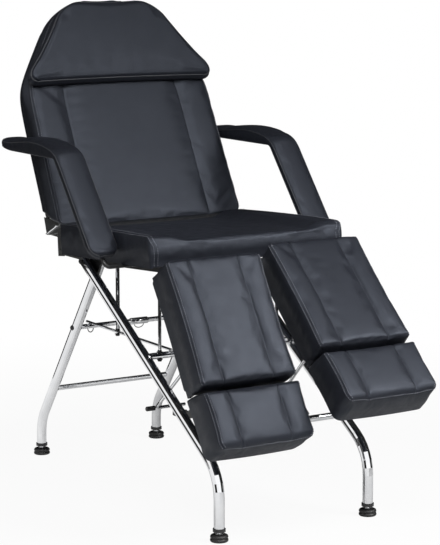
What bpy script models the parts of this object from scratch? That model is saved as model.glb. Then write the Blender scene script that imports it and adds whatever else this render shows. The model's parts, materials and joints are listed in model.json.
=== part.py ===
# Pedicure chair: a chromed X-leg frame with a padded seat, a reclining back with
# a head pillow, bent armrests, and two leg rests that tilt and lengthen on their own.
# Metres, +Z up. The chair faces -Y and stands on the floor at Z = 0.

import math

import bmesh
import bpy
from mathutils import Matrix, Quaternion, Vector

for leftover in list(bpy.data.objects):
    bpy.data.objects.remove(leftover, do_unlink=True)

# Fits between pieces
weld_gap = 0.0003
running_gap = 0.0004
merge_distance = 0.00003

# Tubes of the stand
rear_foot_y = 0.6105
wheel_base = 1.055
front_track_half = 0.230
leg_plate_gap = 0.0005
leg_radius = 0.014
leg_wall = 0.0015
leg_bend_radius = 0.12
front_slope_deg = 32.5
front_knee_height = 0.174
front_leg_room = 0.0241
rear_slope_deg = 54.0
rear_knee_height = 0.101
rear_leg_room = 0.0176
tube_sides_step = 6
bend_steps = 6

# Levelling feet
foot_radius = 0.0235
foot_height = 0.020
foot_chamfer = 0.004
stem_radius = 0.005
stem_top = 0.075
collar_radius = 0.0165
collar_bottom = 0.026
collar_height = 0.008
plug_depth = 0.022
lathe_sides = 24
cap_thickness = 0.004
cap_edge = 0.0024
cap_radius = 0.0155

# Bars of the stand
rear_lower_bar_height = 0.212
rear_lower_bar_radius = 0.0075
rear_upper_bar_height = 0.416
rear_upper_bar_radius = 0.007
front_upper_bar_height = 0.411
front_upper_bar_radius = 0.009
front_lower_bar_height = 0.250
front_lower_bar_radius = 0.009
spreader_x = 0.155
spreader_radius = 0.004
spreader_overhang = 0.012
rear_strut_setback = 0.065
rear_strut_radius = 0.0055
front_strut_x = 0.185
front_strut_radius = 0.0045
strut_bend_radius = 0.018

# Seat
seat_overhang = 0.0351
seat_above_crossing = 0.0397
seat_tilt_deg = 2.8
seat_length = 0.500
seat_half_width = 0.298
seat_pad_height = 0.070
seat_edge = 0.014
seat_front_roll = 0.032
seat_corner = 0.020
seat_trough_half = 0.205
seat_trough_depth = 0.016
seat_trough_ramp = 0.050
board_thickness = 0.015
board_inset = 0.013
back_board_inset = 0.003
side_plate_thickness = 0.006
side_plate_depth = 0.030
side_plate_lug = 0.022
pad_draw = 0.003
pad_tuck = 0.004

# Back and its hinge
back_angle_deg = 63.1
hinge_clearance = 0.002
back_pivot_rise = 0.054
back_start = 0.0186
back_length = 0.672
back_margin = 0.001
back_face = 0.0249
back_pad_height = 0.062
back_edge = 0.013
back_corner = 0.022
head_start = 0.437
head_taper = 0.673
head_blend = 0.030
head_corner = 0.085
back_channel = 0.190
channel_depth = 0.006
channel_half = 0.011
crown_rise = 0.004
hinge_thickness = 0.005
hinge_inset = 0.0245
hinge_boss = 0.0155
hinge_arm_wrap_deg = 200
hinge_plate_wrap_deg = -20
hinge_pin_radius = 0.006
hinge_pin_head = 0.010
hinge_head_thickness = 0.004
hinge_foot_length = 0.110
hinge_foot_depth = 0.008
hinge_arm_depth = 0.014
hinge_arm_length = 0.300
hinge_arm_tip = 0.010

# Pillow
pillow_start = 0.4245
pillow_length = 0.237
pillow_bottom_half = 0.312
pillow_taper = 0.715
pillow_lower_corner = 0.045
pillow_upper_corner = 0.052
pillow_height = 0.038
pillow_wedge = 0.016
pillow_edge = 0.013
pillow_lift = 0.0010

# Armrests
arm_gap = 0.002
arm_width = 0.083
arm_rise = 0.278
arm_elbow_setback = 0.1315
arm_reach = 0.340
arm_slope_deg = 51.0
arm_post = 0.306
arm_edge_height = 0.017
arm_crown = 0.009
arm_crease = 0.0052
arm_arch = 0.011
arm_elbow_radius = 0.026
arm_nose = 0.040
arm_nose_lift = 0.010
arm_end_round = 0.017
arm_tube_radius = 0.006
arm_tube_bend = 0.014
arm_tube_run = 0.190

# Leg rests
leg_rest_room = 0.0675
right_leg_lift_deg = 15.2
leg_hinge_setback = 0.002
leg_hinge_drop = 0.0124
hinge_rod_radius = 0.008
hinge_rod_overhang = 0.006
sleeve_wall = 0.004
leg_gap_half = 0.016
leg_half_width = 0.142
sleeve_inner_x = 0.010
calf_start = 0.010
calf_length = 0.335
foot_pad_start = 0.362
foot_pad_length = 0.152
leg_face = 0.092
tray_top = 0.0260
tray_thickness = 0.0095
tray_half = 0.137
skirt_wall = 0.009
skirt_low = -0.003
runner_half = 0.060
runner_wall = 0.008
runner_lip = 0.010
runner_lip_thickness = 0.003
slide_thickness = 0.0095
slide_clearance = 0.0005
slide_back = 0.200
leg_edge = 0.013
leg_corner = 0.010
leg_channel = 0.074
leg_panel_drop = 0.003

# Props that hold the leg rests up
prop_pivot_along = 0.190
prop_pivot_depth = 0.012
prop_length = 0.3564
prop_rest_deg = 8.9
prop_follow = 0.35
prop_radius = 0.0045
prop_offset = 0.022
prop_pin = 0.060
prop_foot = 0.090
prop_bend = 0.007
lug_thickness = 0.004
lug_length = 0.024
lug_drop = 0.011
lug_clearance = 0.002
grip_radius = 0.0065
grip_length = 0.026
grip_edge = 0.002

# Notched racks under the props
rack_x = 0.118
rack_thickness = 0.005
rack_depth = 0.024
rack_teeth = 9
rack_tooth_depth = 0.006
rack_top_deg = 2.0
rack_tail = 0.009

# Fineness of the round and padded shapes
arc_steps = 10
edge_rows = 4
edge_columns = 3
arm_edge_columns = 2
seat_rows = 7
back_rows = 13
pillow_rows = 4
arm_rows = 12
elbow_rows = 3
calf_rows = 5
foot_rows = 3
board_rows = 14
round_shading_deg = 40
flat_shading_deg = 30
pad_shading_deg = 50

# Looks: colour, roughness, metallic
leather = ((0.030, 0.031, 0.036), 0.42, 0.0)
chrome = ((0.78, 0.79, 0.80), 0.10, 1.0)
steel = ((0.45, 0.46, 0.47), 0.32, 1.0)
black_steel = ((0.020, 0.020, 0.022), 0.40, 0.6)
black_plastic = ((0.012, 0.012, 0.013), 0.45, 0.0)
black_board = ((0.018, 0.017, 0.017), 0.75, 0.0)


def turn(degrees):
    return math.radians(degrees)


def slope(degrees):
    """Unit step down a slope that falls towards the front, in Y and Z."""
    return Vector((0.0, -math.cos(turn(degrees)), -math.sin(turn(degrees))))


def add_material(thing, look):
    colour, roughness, metallic = look
    material = bpy.data.materials.new(thing.name)
    material.use_nodes = True
    shader = material.node_tree.nodes["Principled BSDF"]
    shader.inputs["Base Color"].default_value = (*colour, 1.0)
    shader.inputs["Roughness"].default_value = roughness
    shader.inputs["Metallic"].default_value = metallic
    thing.data.materials.append(material)


def add_object(name, data, look, parent=None, location=(0, 0, 0), rotation=(0, 0, 0)):
    thing = bpy.data.objects.new(name, data)
    bpy.context.scene.collection.objects.link(thing)
    thing.parent = parent
    thing.location = location
    thing.rotation_euler = rotation
    if look:
        add_material(thing, look)
    return thing


def add_pivot(name, parent, location, rotation):
    empty = add_object(name, None, None, parent, location, rotation)
    empty.empty_display_size = leg_radius
    return empty


def mesh_from(name, shape, smooth_deg):
    bmesh.ops.recalc_face_normals(shape, faces=shape.faces)
    mesh = bpy.data.meshes.new(name)
    shape.to_mesh(mesh)
    shape.free()
    mesh.shade_smooth()
    mesh.set_sharp_from_angle(angle=turn(smooth_deg))
    return mesh


def rounded_path(corners, radius):
    """Swap each inner corner of a path for an arc."""
    path = [corners[0]]
    for before, corner, after in zip(corners, corners[1:], corners[2:]):
        back = (before - corner).normalized()
        ahead = (after - corner).normalized()
        half = back.angle(ahead) / 2
        centre = corner + (back + ahead).normalized() * radius / math.sin(half)
        start = corner + back * radius / math.tan(half) - centre
        end = corner + ahead * radius / math.tan(half) - centre
        sweep = start.rotation_difference(end)
        for step in range(bend_steps + 1):
            path.append(centre + Quaternion().slerp(sweep, step / bend_steps) @ start)
    path.append(corners[-1])
    return path


def tube(name, corners, radius, bend, look, wall=0.0, parent=None, location=(0, 0, 0)):
    """Bent round tube or rod along a path of straight runs and arcs."""
    path = rounded_path([Vector(corner) for corner in corners], bend)
    curve = bpy.data.curves.new(name, "CURVE")
    curve.dimensions = "3D"
    curve.bevel_depth = radius
    curve.bevel_resolution = tube_sides_step
    curve.use_fill_caps = wall == 0.0
    spline = curve.splines.new("POLY")
    spline.points.add(len(path) - 1)
    for point, place in zip(spline.points, path):
        point.co = (*place, 1.0)
    drawn = add_object(name, curve, None)
    graph = bpy.context.evaluated_depsgraph_get()
    shape = bmesh.new()
    shape.from_mesh(bpy.data.meshes.new_from_object(drawn.evaluated_get(graph)))
    bpy.data.objects.remove(drawn, do_unlink=True)
    bmesh.ops.remove_doubles(shape, verts=shape.verts, dist=merge_distance)
    piece = add_object(name, mesh_from(name, shape, round_shading_deg), look, parent, location)
    if wall:
        hollow = piece.modifiers.new("wall", "SOLIDIFY")
        hollow.thickness = wall
        hollow.offset = -1.0
        hollow.use_even_offset = True
    return piece


def revolve(name, profile, look, parent=None, location=(0, 0, 0), rotation=(0, 0, 0), ring=False):
    """Turn a profile of radius and height pairs about Z."""
    shape = bmesh.new()
    points = [shape.verts.new((radius, 0.0, height)) for radius, height in profile]
    edges = [shape.edges.new(pair) for pair in zip(points, points[1:])]
    if ring:
        edges.append(shape.edges.new((points[-1], points[0])))
    bmesh.ops.spin(shape, geom=points + edges, axis=(0, 0, 1), cent=(0, 0, 0),
                   angle=turn(360), steps=lathe_sides)
    bmesh.ops.remove_doubles(shape, verts=shape.verts, dist=merge_distance)
    return add_object(name, mesh_from(name, shape, round_shading_deg), look, parent, location, rotation)


def plate(name, outline, thickness, look, parent=None, location=(0, 0, 0), rotation=(0, 0, 0)):
    """Flat plate: an outline in the local Y-Z plane, thickened along +X."""
    shape = bmesh.new()
    face = shape.faces.new([shape.verts.new((0.0, across, up)) for across, up in outline])
    grown = bmesh.ops.extrude_face_region(shape, geom=[face])["geom"]
    moved = [item for item in grown if isinstance(item, bmesh.types.BMVert)]
    bmesh.ops.translate(shape, verts=moved, vec=(thickness, 0, 0))
    return add_object(name, mesh_from(name, shape, flat_shading_deg), look, parent, location, rotation)


def bore(piece, radius, thickness, parent=None, location=(0, 0, 0)):
    """Drill a hole along X right through a thickness."""
    shape = bmesh.new()
    bmesh.ops.create_cone(shape, cap_ends=True, segments=lathe_sides, radius1=radius,
                          radius2=radius, depth=thickness + 2 * radius,
                          matrix=Matrix.Rotation(turn(90), 4, "Y"))
    drill = piece.name + "_drill"
    cutter = add_object(drill, mesh_from(drill, shape, flat_shading_deg), None, parent, location)
    cutter.hide_render = True
    cutter.display_type = "WIRE"
    hole = piece.modifiers.new("hole", "BOOLEAN")
    hole.object = cutter
    hole.operation = "DIFFERENCE"
    hole.solver = "EXACT"


def arc_points(centre, radius, start_deg, end_deg):
    """Points on an arc in a plane, as pairs."""
    points = []
    for step in range(arc_steps + 1):
        angle = turn(start_deg + (end_deg - start_deg) * step / arc_steps)
        points.append((centre[0] + radius * math.cos(angle), centre[1] + radius * math.sin(angle)))
    return points


def round_over(distance, radius):
    """Height lost at this distance from a rounded edge."""
    inside = max(distance, 0.0)
    if inside >= radius:
        return 0.0
    return radius - math.sqrt(radius ** 2 - (radius - inside) ** 2)


def ease(distance, ramp):
    """Smooth step from 0 to 1 over a ramp centred on zero distance."""
    share = min(max(distance / ramp + 0.5, 0.0), 1.0)
    return share * share * (3 - 2 * share)


def stations(length, start, end, middle, turns):
    """Positions along a pad, close together where its ends round over."""
    first = [start * (1 - math.cos(turn(90) * step / turns)) for step in range(turns)]
    last = [length - end * (1 - math.cos(turn(90) * step / turns)) for step in range(turns)]
    body = [start + (length - start - end) * step / middle for step in range(middle + 1)]
    return first + body + last[::-1]


def columns(half, edge, turns, creases):
    """Positions across a pad, close together at its sides and its creases."""
    right = [half - edge * (1 - math.cos(turn(90) * step / turns)) for step in range(turns + 1)]
    for middle, reach in creases:
        right += [middle - reach, middle, middle + reach]
    right = sorted(right)
    return [-place / half for place in right[::-1]] + [0.0] + [place / half for place in right]


def flat(across, along, up):
    return Vector((across, along, up))


def pad(name, rows, spread, half_width, top, edges, look, parent, location, rotation=(0, 0, 0),
        place=flat, tuck=pad_tuck, draw=pad_draw):
    """Upholstered pad: a crowned top that rounds over into drawn-in sides and a flat base."""
    length = rows[-1]
    start_edge, side_edge, end_edge = edges
    shape = bmesh.new()
    top_grid = []
    base_grid = []
    for along in rows:
        half = half_width(along)
        top_row = []
        base_row = []
        for share in spread:
            across = half * share
            lost = max(round_over(half - abs(across), side_edge), round_over(along, start_edge),
                       round_over(length - along, end_edge))
            pull = draw * (1 - share * share) * (1 - 2 * along / length)
            height = top(across, along) - lost
            top_row.append(shape.verts.new(place(across, along + pull, height)))
            at_end = along in (rows[0], rows[-1])
            if at_end or abs(share) == 1.0:
                low = (across * (1 - tuck / half), tuck + along * (1 - 2 * tuck / length), 0.0)
                base_row.append(shape.verts.new(place(*low)))
        top_grid.append(top_row)
        base_grid.append(base_row)
    longest_first = sorted(range(len(rows) - 1), key=lambda step: rows[step] - rows[step + 1])
    for step in longest_first:
        shape.faces.new(base_grid[step][::-1] + base_grid[step + 1])
    for row, after in zip(top_grid, top_grid[1:]):
        for near, far, far_up, near_up in zip(row, row[1:], after[1:], after):
            shape.faces.new((near, far, far_up, near_up))
    for row, after, low, low_after in zip(top_grid, top_grid[1:], base_grid, base_grid[1:]):
        shape.faces.new((row[0], after[0], low_after[0], low[0]))
        shape.faces.new((row[-1], low[-1], low_after[-1], after[-1]))
    for row, low in ((top_grid[0], base_grid[0]), (top_grid[-1], base_grid[-1])):
        for near, far, low_far, low_near in zip(row, row[1:], low[1:], low):
            shape.faces.new((near, low_near, low_far, far))
    return add_object(name, mesh_from(name, shape, pad_shading_deg), look, parent, location, rotation)


def board(name, rows, half_width, thickness, look, parent, location):
    """Flat base board whose outline follows a pad."""
    shape = bmesh.new()
    right = [shape.verts.new((half_width(along), along, 0.0)) for along in rows]
    left = [shape.verts.new((-half_width(along), along, 0.0)) for along in rows]
    face = shape.faces.new(right + left[::-1])
    grown = bmesh.ops.extrude_face_region(shape, geom=[face])["geom"]
    moved = [item for item in grown if isinstance(item, bmesh.types.BMVert)]
    bmesh.ops.translate(shape, verts=moved, vec=(0, 0, thickness))
    return add_object(name, mesh_from(name, shape, flat_shading_deg), look, parent, location)


# Stand: front and rear legs
front_foot_y = rear_foot_y - wheel_base
front_knee = Vector((0.0, front_foot_y, front_knee_height))
rear_knee = Vector((0.0, rear_foot_y, rear_knee_height))
front_rise = -slope(front_slope_deg)
rear_rise = Vector((0.0, -math.cos(turn(rear_slope_deg)), math.sin(turn(rear_slope_deg))))
leg_bottom = collar_bottom + collar_height + weld_gap
rear_track_half = front_track_half - 2 * leg_radius - side_plate_thickness - 2 * leg_plate_gap
sides = (("left", -1), ("right", 1))

# Where a front and a rear leg cross: the seat sits a set height above it
knee_step = front_knee - rear_knee
leg_angle = rear_rise.y * front_rise.z - rear_rise.z * front_rise.y
crossing = rear_knee + rear_rise * (knee_step.y * front_rise.z - knee_step.z * front_rise.y) / leg_angle
seat_origin = crossing + Vector((0.0, seat_overhang, seat_above_crossing))
seat_fall = math.tan(turn(seat_tilt_deg))


def under_seat(y):
    """Height of the seat board's underside at a place along the chair."""
    return seat_origin.z + (seat_origin.y - y) * seat_fall


def leg_end(knee, rise, room):
    """Top end of a leg that stops short of the seat board by some room."""
    return knee + rise * (under_seat(knee.y) - knee.z - room) / (rise.z + rise.y * seat_fall)


front_top = leg_end(front_knee, front_rise, front_leg_room)
rear_top = leg_end(rear_knee, rear_rise, rear_leg_room)
legs = (("front", front_track_half, front_foot_y, front_knee, front_top),
        ("rear", rear_track_half, rear_foot_y, rear_knee, rear_top))

foot_profile = ((0.0, 0.0), (foot_radius - foot_chamfer, 0.0), (foot_radius, foot_chamfer),
                (foot_radius, foot_height - foot_chamfer), (foot_radius - foot_chamfer, foot_height),
                (stem_radius, foot_height), (stem_radius, stem_top), (0.0, stem_top))
bore_radius = leg_radius - leg_wall - running_gap
thread_radius = stem_radius + running_gap
collar_top = collar_bottom + collar_height
collar_profile = ((thread_radius, collar_bottom), (collar_radius, collar_bottom),
                  (collar_radius, collar_top), (bore_radius, collar_top),
                  (bore_radius, collar_top + plug_depth), (thread_radius, collar_top + plug_depth))

for end, track, foot_y, knee, leg_top in legs:
    for side, way in sides:
        spot = Vector((way * track, 0.0, 0.0))
        bottom = spot + Vector((0.0, foot_y, leg_bottom))
        tube(f"{end}_leg_{side}", (bottom, spot + knee, spot + leg_top), leg_radius,
             leg_bend_radius, chrome, wall=leg_wall)
        ground = (way * track, foot_y, 0.0)
        revolve(f"{end}_collar_{side}", collar_profile, black_plastic, location=ground, ring=True)
        revolve(f"{end}_foot_{side}", foot_profile, black_plastic, location=ground)

cap_profile = ((0.0, -plug_depth), (bore_radius, -plug_depth), (bore_radius, weld_gap),
               (cap_radius, weld_gap), (cap_radius, cap_edge),
               (bore_radius, cap_thickness), (0.0, cap_thickness))
for side, way in sides:
    revolve(f"front_cap_{side}", cap_profile, black_plastic,
            location=front_top + Vector((way * front_track_half, 0, 0)),
            rotation=(turn(front_slope_deg - 90), 0, 0))


# Stand: bars across the legs
def leg_point(knee, rise, height):
    """Point on a leg's centre line at a height, over X = 0."""
    return knee + rise * ((height - knee.z) / rise.z)


def cross_bar(name, centre, track, radius):
    reach = Vector((track - leg_radius - weld_gap, 0, 0))
    return tube(name, (centre - reach, centre + reach), radius, radius, chrome)


rear_low = leg_point(rear_knee, rear_rise, rear_lower_bar_height)
rear_high = leg_point(rear_knee, rear_rise, rear_upper_bar_height)
front_high = leg_point(front_knee, front_rise, front_upper_bar_height)
front_low = leg_point(front_knee, front_rise, front_lower_bar_height)
cross_bar("rear_lower_bar", rear_low, rear_track_half, rear_lower_bar_radius)
cross_bar("rear_upper_bar", rear_high, rear_track_half, rear_upper_bar_radius)
cross_bar("front_upper_bar", front_high, front_track_half, front_upper_bar_radius)
cross_bar("front_lower_bar", front_low, front_track_half, front_lower_bar_radius)

# Thin fore-and-aft rods that lie on the two upper bars
rod_rear = rear_high + Vector((0, 0, rear_upper_bar_radius + spreader_radius + weld_gap))
rod_front = front_high + Vector((0, 0, front_upper_bar_radius + spreader_radius + weld_gap))
rod_run = (rod_front - rod_rear).normalized()
for side, way in sides:
    shift = Vector((way * spreader_x, 0, 0))
    ends = (rod_rear - rod_run * spreader_overhang + shift, rod_front + rod_run * spreader_overhang + shift)
    tube(f"spreader_rod_{side}", ends, spreader_radius, spreader_radius, chrome)

# Seat: its tilted frame of reference, from the rear edge of the board towards the front
seat = add_pivot("seat_reference", None, seat_origin, (turn(seat_tilt_deg), 0, turn(180)))


# Two bent rods that carry the seat on the bars
def strut_frame(name, y, half, foot_level, radius):
    crown = under_seat(y) - radius / math.cos(turn(seat_tilt_deg)) - weld_gap
    corners = ((-half, y, foot_level), (-half, y, crown), (half, y, crown), (half, y, foot_level))
    return tube(name, corners, radius, strut_bend_radius, chrome)


strut_y = seat_origin.y - rear_strut_setback
rod_fall = (rod_front.z - rod_rear.z) / (rod_front.y - rod_rear.y)
rod_top = rod_rear.z + rod_fall * (strut_y - rod_rear.y) + spreader_radius + weld_gap
strut_frame("rear_strut_frame", strut_y, spreader_x, rod_top, rear_strut_radius)
strut_frame("front_strut_frame", front_high.y, front_strut_x,
            front_high.z + front_upper_bar_radius + weld_gap, front_strut_radius)

# Side plates between the front and rear legs, which also carry the leg-rest hinge rod
hinge_y = seat_origin.y - seat_length + leg_hinge_setback
hinge_height = under_seat(hinge_y) - leg_hinge_drop
hinge_line = Vector((0.0, hinge_y, hinge_height))
plate_x = (front_track_half + rear_track_half - side_plate_thickness) / 2
plate_nose = hinge_rod_radius + sleeve_wall
plate_front = hinge_y - plate_nose
plate_rear = seat_origin.y - board_inset
lug_front = crossing.y - side_plate_lug
lug_rear = crossing.y + side_plate_lug
lug_bottom = crossing.z - side_plate_lug
outline = arc_points((hinge_y, hinge_height), plate_nose, 270, 180)
outline += [(plate_front, under_seat(plate_front) - weld_gap),
            (plate_rear, under_seat(plate_rear) - weld_gap), (lug_rear, lug_bottom),
            (lug_front, lug_bottom), (lug_front - side_plate_lug, under_seat(lug_front) - side_plate_depth)]
for side, way in sides:
    inner_x = plate_x if way > 0 else -plate_x - side_plate_thickness
    side_plate = plate(f"seat_side_plate_{side}", outline, side_plate_thickness, black_steel,
                       location=(inner_x, 0, 0))
    bore(side_plate, hinge_rod_radius + weld_gap, side_plate_thickness,
         location=(way * (plate_x + side_plate_thickness / 2), hinge_y, hinge_height))

rod_reach = plate_x + side_plate_thickness + hinge_rod_overhang
tube("leg_hinge_rod", (hinge_line - Vector((rod_reach, 0, 0)), hinge_line + Vector((rod_reach, 0, 0))),
     hinge_rod_radius, hinge_rod_radius, chrome)


# Seat board and cushion
def seat_half(along):
    corner = round_over(along, seat_corner) + round_over(seat_length - along, seat_corner)
    return seat_half_width - corner - pad_draw * math.sin(math.pi * along / seat_length)


def seat_top(across, along):
    """Two side bolsters and a lower trough that runs out over the front roll."""
    trough = 1 - ease(abs(across) - seat_trough_half, seat_trough_ramp)
    crown = crown_rise * math.sin(math.pi * along / seat_length)
    return seat_pad_height + crown - seat_trough_depth * trough


board("seat_board", [board_inset, seat_length - board_inset], lambda along: seat_half_width - board_inset,
      board_thickness, black_board, seat, (0, 0, 0))
pad("seat_cushion", stations(seat_length, seat_edge, seat_front_roll, seat_rows, edge_rows),
    columns(seat_half_width, seat_edge, edge_columns, ((seat_trough_half, seat_trough_ramp / 2),)),
    seat_half, seat_top, (seat_edge, seat_edge, seat_front_roll), leather, seat,
    (0, 0, board_thickness + weld_gap))

# Back: its frame of reference turns about the hinge pins behind the seat
seat_lean = (board_thickness + seat_pad_height) * math.sin(turn(seat_tilt_deg))
pivot_y = seat_origin.y + seat_lean + hinge_boss + hinge_clearance
pivot_height = seat_origin.z + back_pivot_rise
back = add_pivot("back_pivot", None, (0, pivot_y, pivot_height), (turn(back_angle_deg), 0, 0))
back_half_width = seat_half_width - back_margin


def head_half(along):
    """Half width of the back, which narrows into the head end."""
    straight = back_half_width - pad_draw * math.sin(math.pi * along / back_length)
    sloped = back_half_width - head_taper * (along - head_start + back_start)
    gap = straight - sloped
    blended = (straight + sloped - math.sqrt(gap * gap + head_blend * head_blend)) / 2
    return blended + head_blend * head_blend / (4 * back_half_width)


def back_half(along):
    return head_half(along) - round_over(along, back_corner) - round_over(back_length - along, head_corner)


def back_top(across, along):
    """Crowned panels either side of two sewn channels."""
    half = head_half(along)
    channel = back_channel * half / back_half_width
    off = (abs(across) - channel) / channel_half
    groove = channel_depth * math.exp(-off * off)
    share = across / half
    return back_pad_height - crown_rise * share * share - groove


board_step = (back_length - 2 * back_board_inset) / board_rows
back_board_rows = [back_board_inset + board_step * step for step in range(board_rows + 1)]
board_depth = back_pad_height - back_face + weld_gap
pad("back_cushion", stations(back_length, back_edge, head_corner, back_rows, edge_rows),
    columns(back_half_width, back_edge, edge_columns, ((back_channel, channel_half),)),
    back_half, back_top, (back_edge, back_edge, back_edge), leather, back,
    (0, back_start, back_face - back_pad_height))
board("back_board", back_board_rows, lambda along: back_half(along) - back_board_inset, board_thickness,
      black_board, back, (0, back_start, -board_depth - board_thickness))

# Hinge arms on the back and hinge plates on the seat
hinge_plate_x = seat_half_width - hinge_inset
arm_x = hinge_plate_x + hinge_thickness + weld_gap
arm_rear = -board_depth - board_thickness - weld_gap
arm_low = back_start - running_gap * 2
arm_outline = arc_points((0, 0), hinge_boss, 90, hinge_arm_wrap_deg)
arm_outline += [(arm_low, arm_rear - hinge_arm_depth),
                (arm_low + hinge_arm_length, arm_rear - hinge_arm_tip),
                (arm_low + hinge_arm_length, arm_rear), (arm_low, arm_rear), (arm_low, hinge_boss)]
plate_low = under_seat(pivot_y) - hinge_foot_depth
plate_outline = arc_points((pivot_y, pivot_height), hinge_boss, hinge_plate_wrap_deg, 180)
plate_outline += [(pivot_y - hinge_boss, under_seat(pivot_y) - weld_gap),
                  (pivot_y - hinge_foot_length, under_seat(pivot_y - hinge_foot_length) - weld_gap),
                  (pivot_y - hinge_foot_length, plate_low), (pivot_y, plate_low)]
pin_reach = hinge_thickness * 2 + weld_gap + running_gap * 2
pin_profile = ((0.0, -hinge_head_thickness), (hinge_pin_head, -hinge_head_thickness), (hinge_pin_head, 0.0),
               (hinge_pin_radius, 0.0), (hinge_pin_radius, pin_reach), (hinge_pin_head, pin_reach),
               (hinge_pin_head, pin_reach + hinge_head_thickness), (0.0, pin_reach + hinge_head_thickness))
for side, way in sides:
    plate_place = hinge_plate_x if way > 0 else -hinge_plate_x - hinge_thickness
    arm_place = arm_x if way > 0 else -arm_x - hinge_thickness
    hinge_plate = plate(f"seat_hinge_plate_{side}", plate_outline, hinge_thickness, steel,
                        location=(plate_place, 0, 0))
    bore(hinge_plate, hinge_pin_radius + running_gap, hinge_thickness,
         location=(plate_place + hinge_thickness / 2, pivot_y, pivot_height))
    hinge_arm = plate(f"back_hinge_arm_{side}", arm_outline, hinge_thickness, steel, back,
                      (arm_place, 0, 0))
    bore(hinge_arm, hinge_pin_radius + running_gap, hinge_thickness, back,
         (arm_place + hinge_thickness / 2, 0, 0))
    revolve(f"back_hinge_pin_{side}", pin_profile, chrome,
            location=(way * (hinge_plate_x - running_gap), pivot_y, pivot_height),
            rotation=(0, turn(way * 90), 0))


# Pillow on the head end
def pillow_half(along):
    straight = pillow_bottom_half - pillow_taper * along
    lower = round_over(along, pillow_lower_corner)
    upper = round_over(pillow_length - along, pillow_upper_corner)
    return straight - lower - upper


def pillow_top(across, along):
    share = across / pillow_bottom_half
    return pillow_height + pillow_wedge * along / pillow_length - crown_rise * share * share


pillow_middle = (pillow_bottom_half / 2, pillow_bottom_half / 4)
pad("pillow", stations(pillow_length, pillow_lower_corner, pillow_upper_corner, pillow_rows, edge_rows),
    columns(pillow_bottom_half, pillow_edge, edge_columns, (pillow_middle,)),
    pillow_half, pillow_top, (pillow_edge, pillow_edge, pillow_edge), leather, back,
    (0, pillow_start, back_face + pillow_lift))

# Armrests: a padded strip bent at the elbow, on a steel tube that runs under the seat
arm_elbow = seat_origin + Vector((0.0, -arm_elbow_setback, arm_rise))
arm_inner = seat_half_width + arm_gap
arm_down = slope(arm_slope_deg)
arm_back = Vector((0.0, -arm_down.z, arm_down.y))
arm_out = Vector((0.0, arm_down.z, -arm_down.y))
arm_tail = arm_elbow + Vector((0.0, arm_reach, 0.0))
arm_length = arm_reach + arm_post


def arm_place(across, along, up):
    """Lay a point of the straight pad along the bent line under the armrest."""
    past = along - arm_reach
    if past <= -arm_elbow_radius:
        lift = arm_nose_lift * max(1 - along / arm_nose, 0.0) ** 2
        return arm_tail + Vector((across, -along, up + lift))
    if past >= arm_elbow_radius:
        return arm_elbow + arm_down * past + arm_out * up + Vector((across, 0, 0))
    part = (past + arm_elbow_radius) / (2 * arm_elbow_radius)
    level = Vector((0.0, -1.0, 0.0))
    before = arm_elbow - level * arm_elbow_radius
    after = arm_elbow + arm_down * arm_elbow_radius
    spot = before * (1 - part) ** 2 + arm_elbow * 2 * part * (1 - part) + after * part ** 2
    ahead = ((arm_elbow - before) * (1 - part) + (after - arm_elbow) * part).normalized()
    outward = Vector((0.0, ahead.z, -ahead.y))
    return spot + outward * up + Vector((across, 0, 0))


def arm_half(along):
    return arm_width / 2 - round_over(along, arm_nose) - round_over(arm_length - along, arm_end_round)


def arm_top(across, along):
    share = 2 * across / arm_width
    arch = arm_arch * max(math.sin(math.pi * along / arm_reach), 0.0) if along < arm_reach else 0.0
    return arm_edge_height + arch + arm_crown * (1 - share * share)


elbow_steps = range(-elbow_rows, elbow_rows + 1)
elbow_stations = [arm_reach + arm_elbow_radius * step / elbow_rows for step in elbow_steps]
arm_stations = [along for along in stations(arm_length, arm_nose, arm_edge_height, arm_rows, edge_rows)
                if abs(along - arm_reach) > arm_elbow_radius]
arm_stations = sorted(arm_stations + elbow_stations)
arm_side_edge = arm_edge_height / 2
arm_columns = columns(arm_width / 2, arm_side_edge, arm_edge_columns, ((arm_width / 4, arm_crease),))
tube_line = arm_elbow + arm_back * (arm_tube_radius + weld_gap)
tube_drop = arm_tube_radius / math.cos(turn(seat_tilt_deg)) + weld_gap
tube_fall = under_seat(tube_line.y) - tube_drop - tube_line.z
tube_fall = tube_fall / (arm_down.z + arm_down.y * math.tan(turn(seat_tilt_deg)))
tube_foot = tube_line + arm_down * tube_fall
for side, way in sides:
    shift = Vector((way * (arm_inner + arm_width / 2), 0, 0))
    pad(f"armrest_{side}", arm_stations, arm_columns, arm_half, arm_top,
        (arm_edge_height, arm_side_edge, arm_side_edge), leather, None, shift,
        place=arm_place, tuck=running_gap, draw=0.0)
    root = Vector((way * (plate_x + side_plate_thickness + weld_gap), tube_foot.y, tube_foot.z))
    tube(f"armrest_tube_{side}", (root, tube_foot + shift, tube_foot + shift - arm_down * arm_tube_run),
         arm_tube_radius, arm_tube_bend, black_steel)


# Leg rests: the lower one hangs just clear of the front legs
to_knee = front_knee - hinge_line
knee_deg = math.degrees(math.atan2(-to_knee.z, -to_knee.y))
left_leg_deg = knee_deg - math.degrees(math.asin(leg_rest_room / to_knee.length))
right_leg_deg = left_leg_deg - right_leg_lift_deg
leg_centre_x = leg_half_width + leg_gap_half


def leg_half(length):
    def half(along):
        corner = round_over(along, leg_corner) + round_over(length - along, leg_corner)
        return leg_half_width - corner - pad_draw * math.sin(math.pi * along / length)
    return half


def leg_top(height):
    def top(across, along):
        """A lower centre panel between two puffed side panels."""
        off = (abs(across) - leg_channel) / channel_half
        groove = channel_depth * math.exp(-off * off)
        centre = leg_panel_drop * (1 - ease(abs(across) - leg_channel, channel_half))
        return height - groove - centre
    return top


def prop_lean(leg_deg):
    """Lean of a prop from hanging straight down, for a leg rest at this slope."""
    return left_leg_deg - prop_rest_deg - prop_follow * (left_leg_deg - leg_deg)


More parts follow.
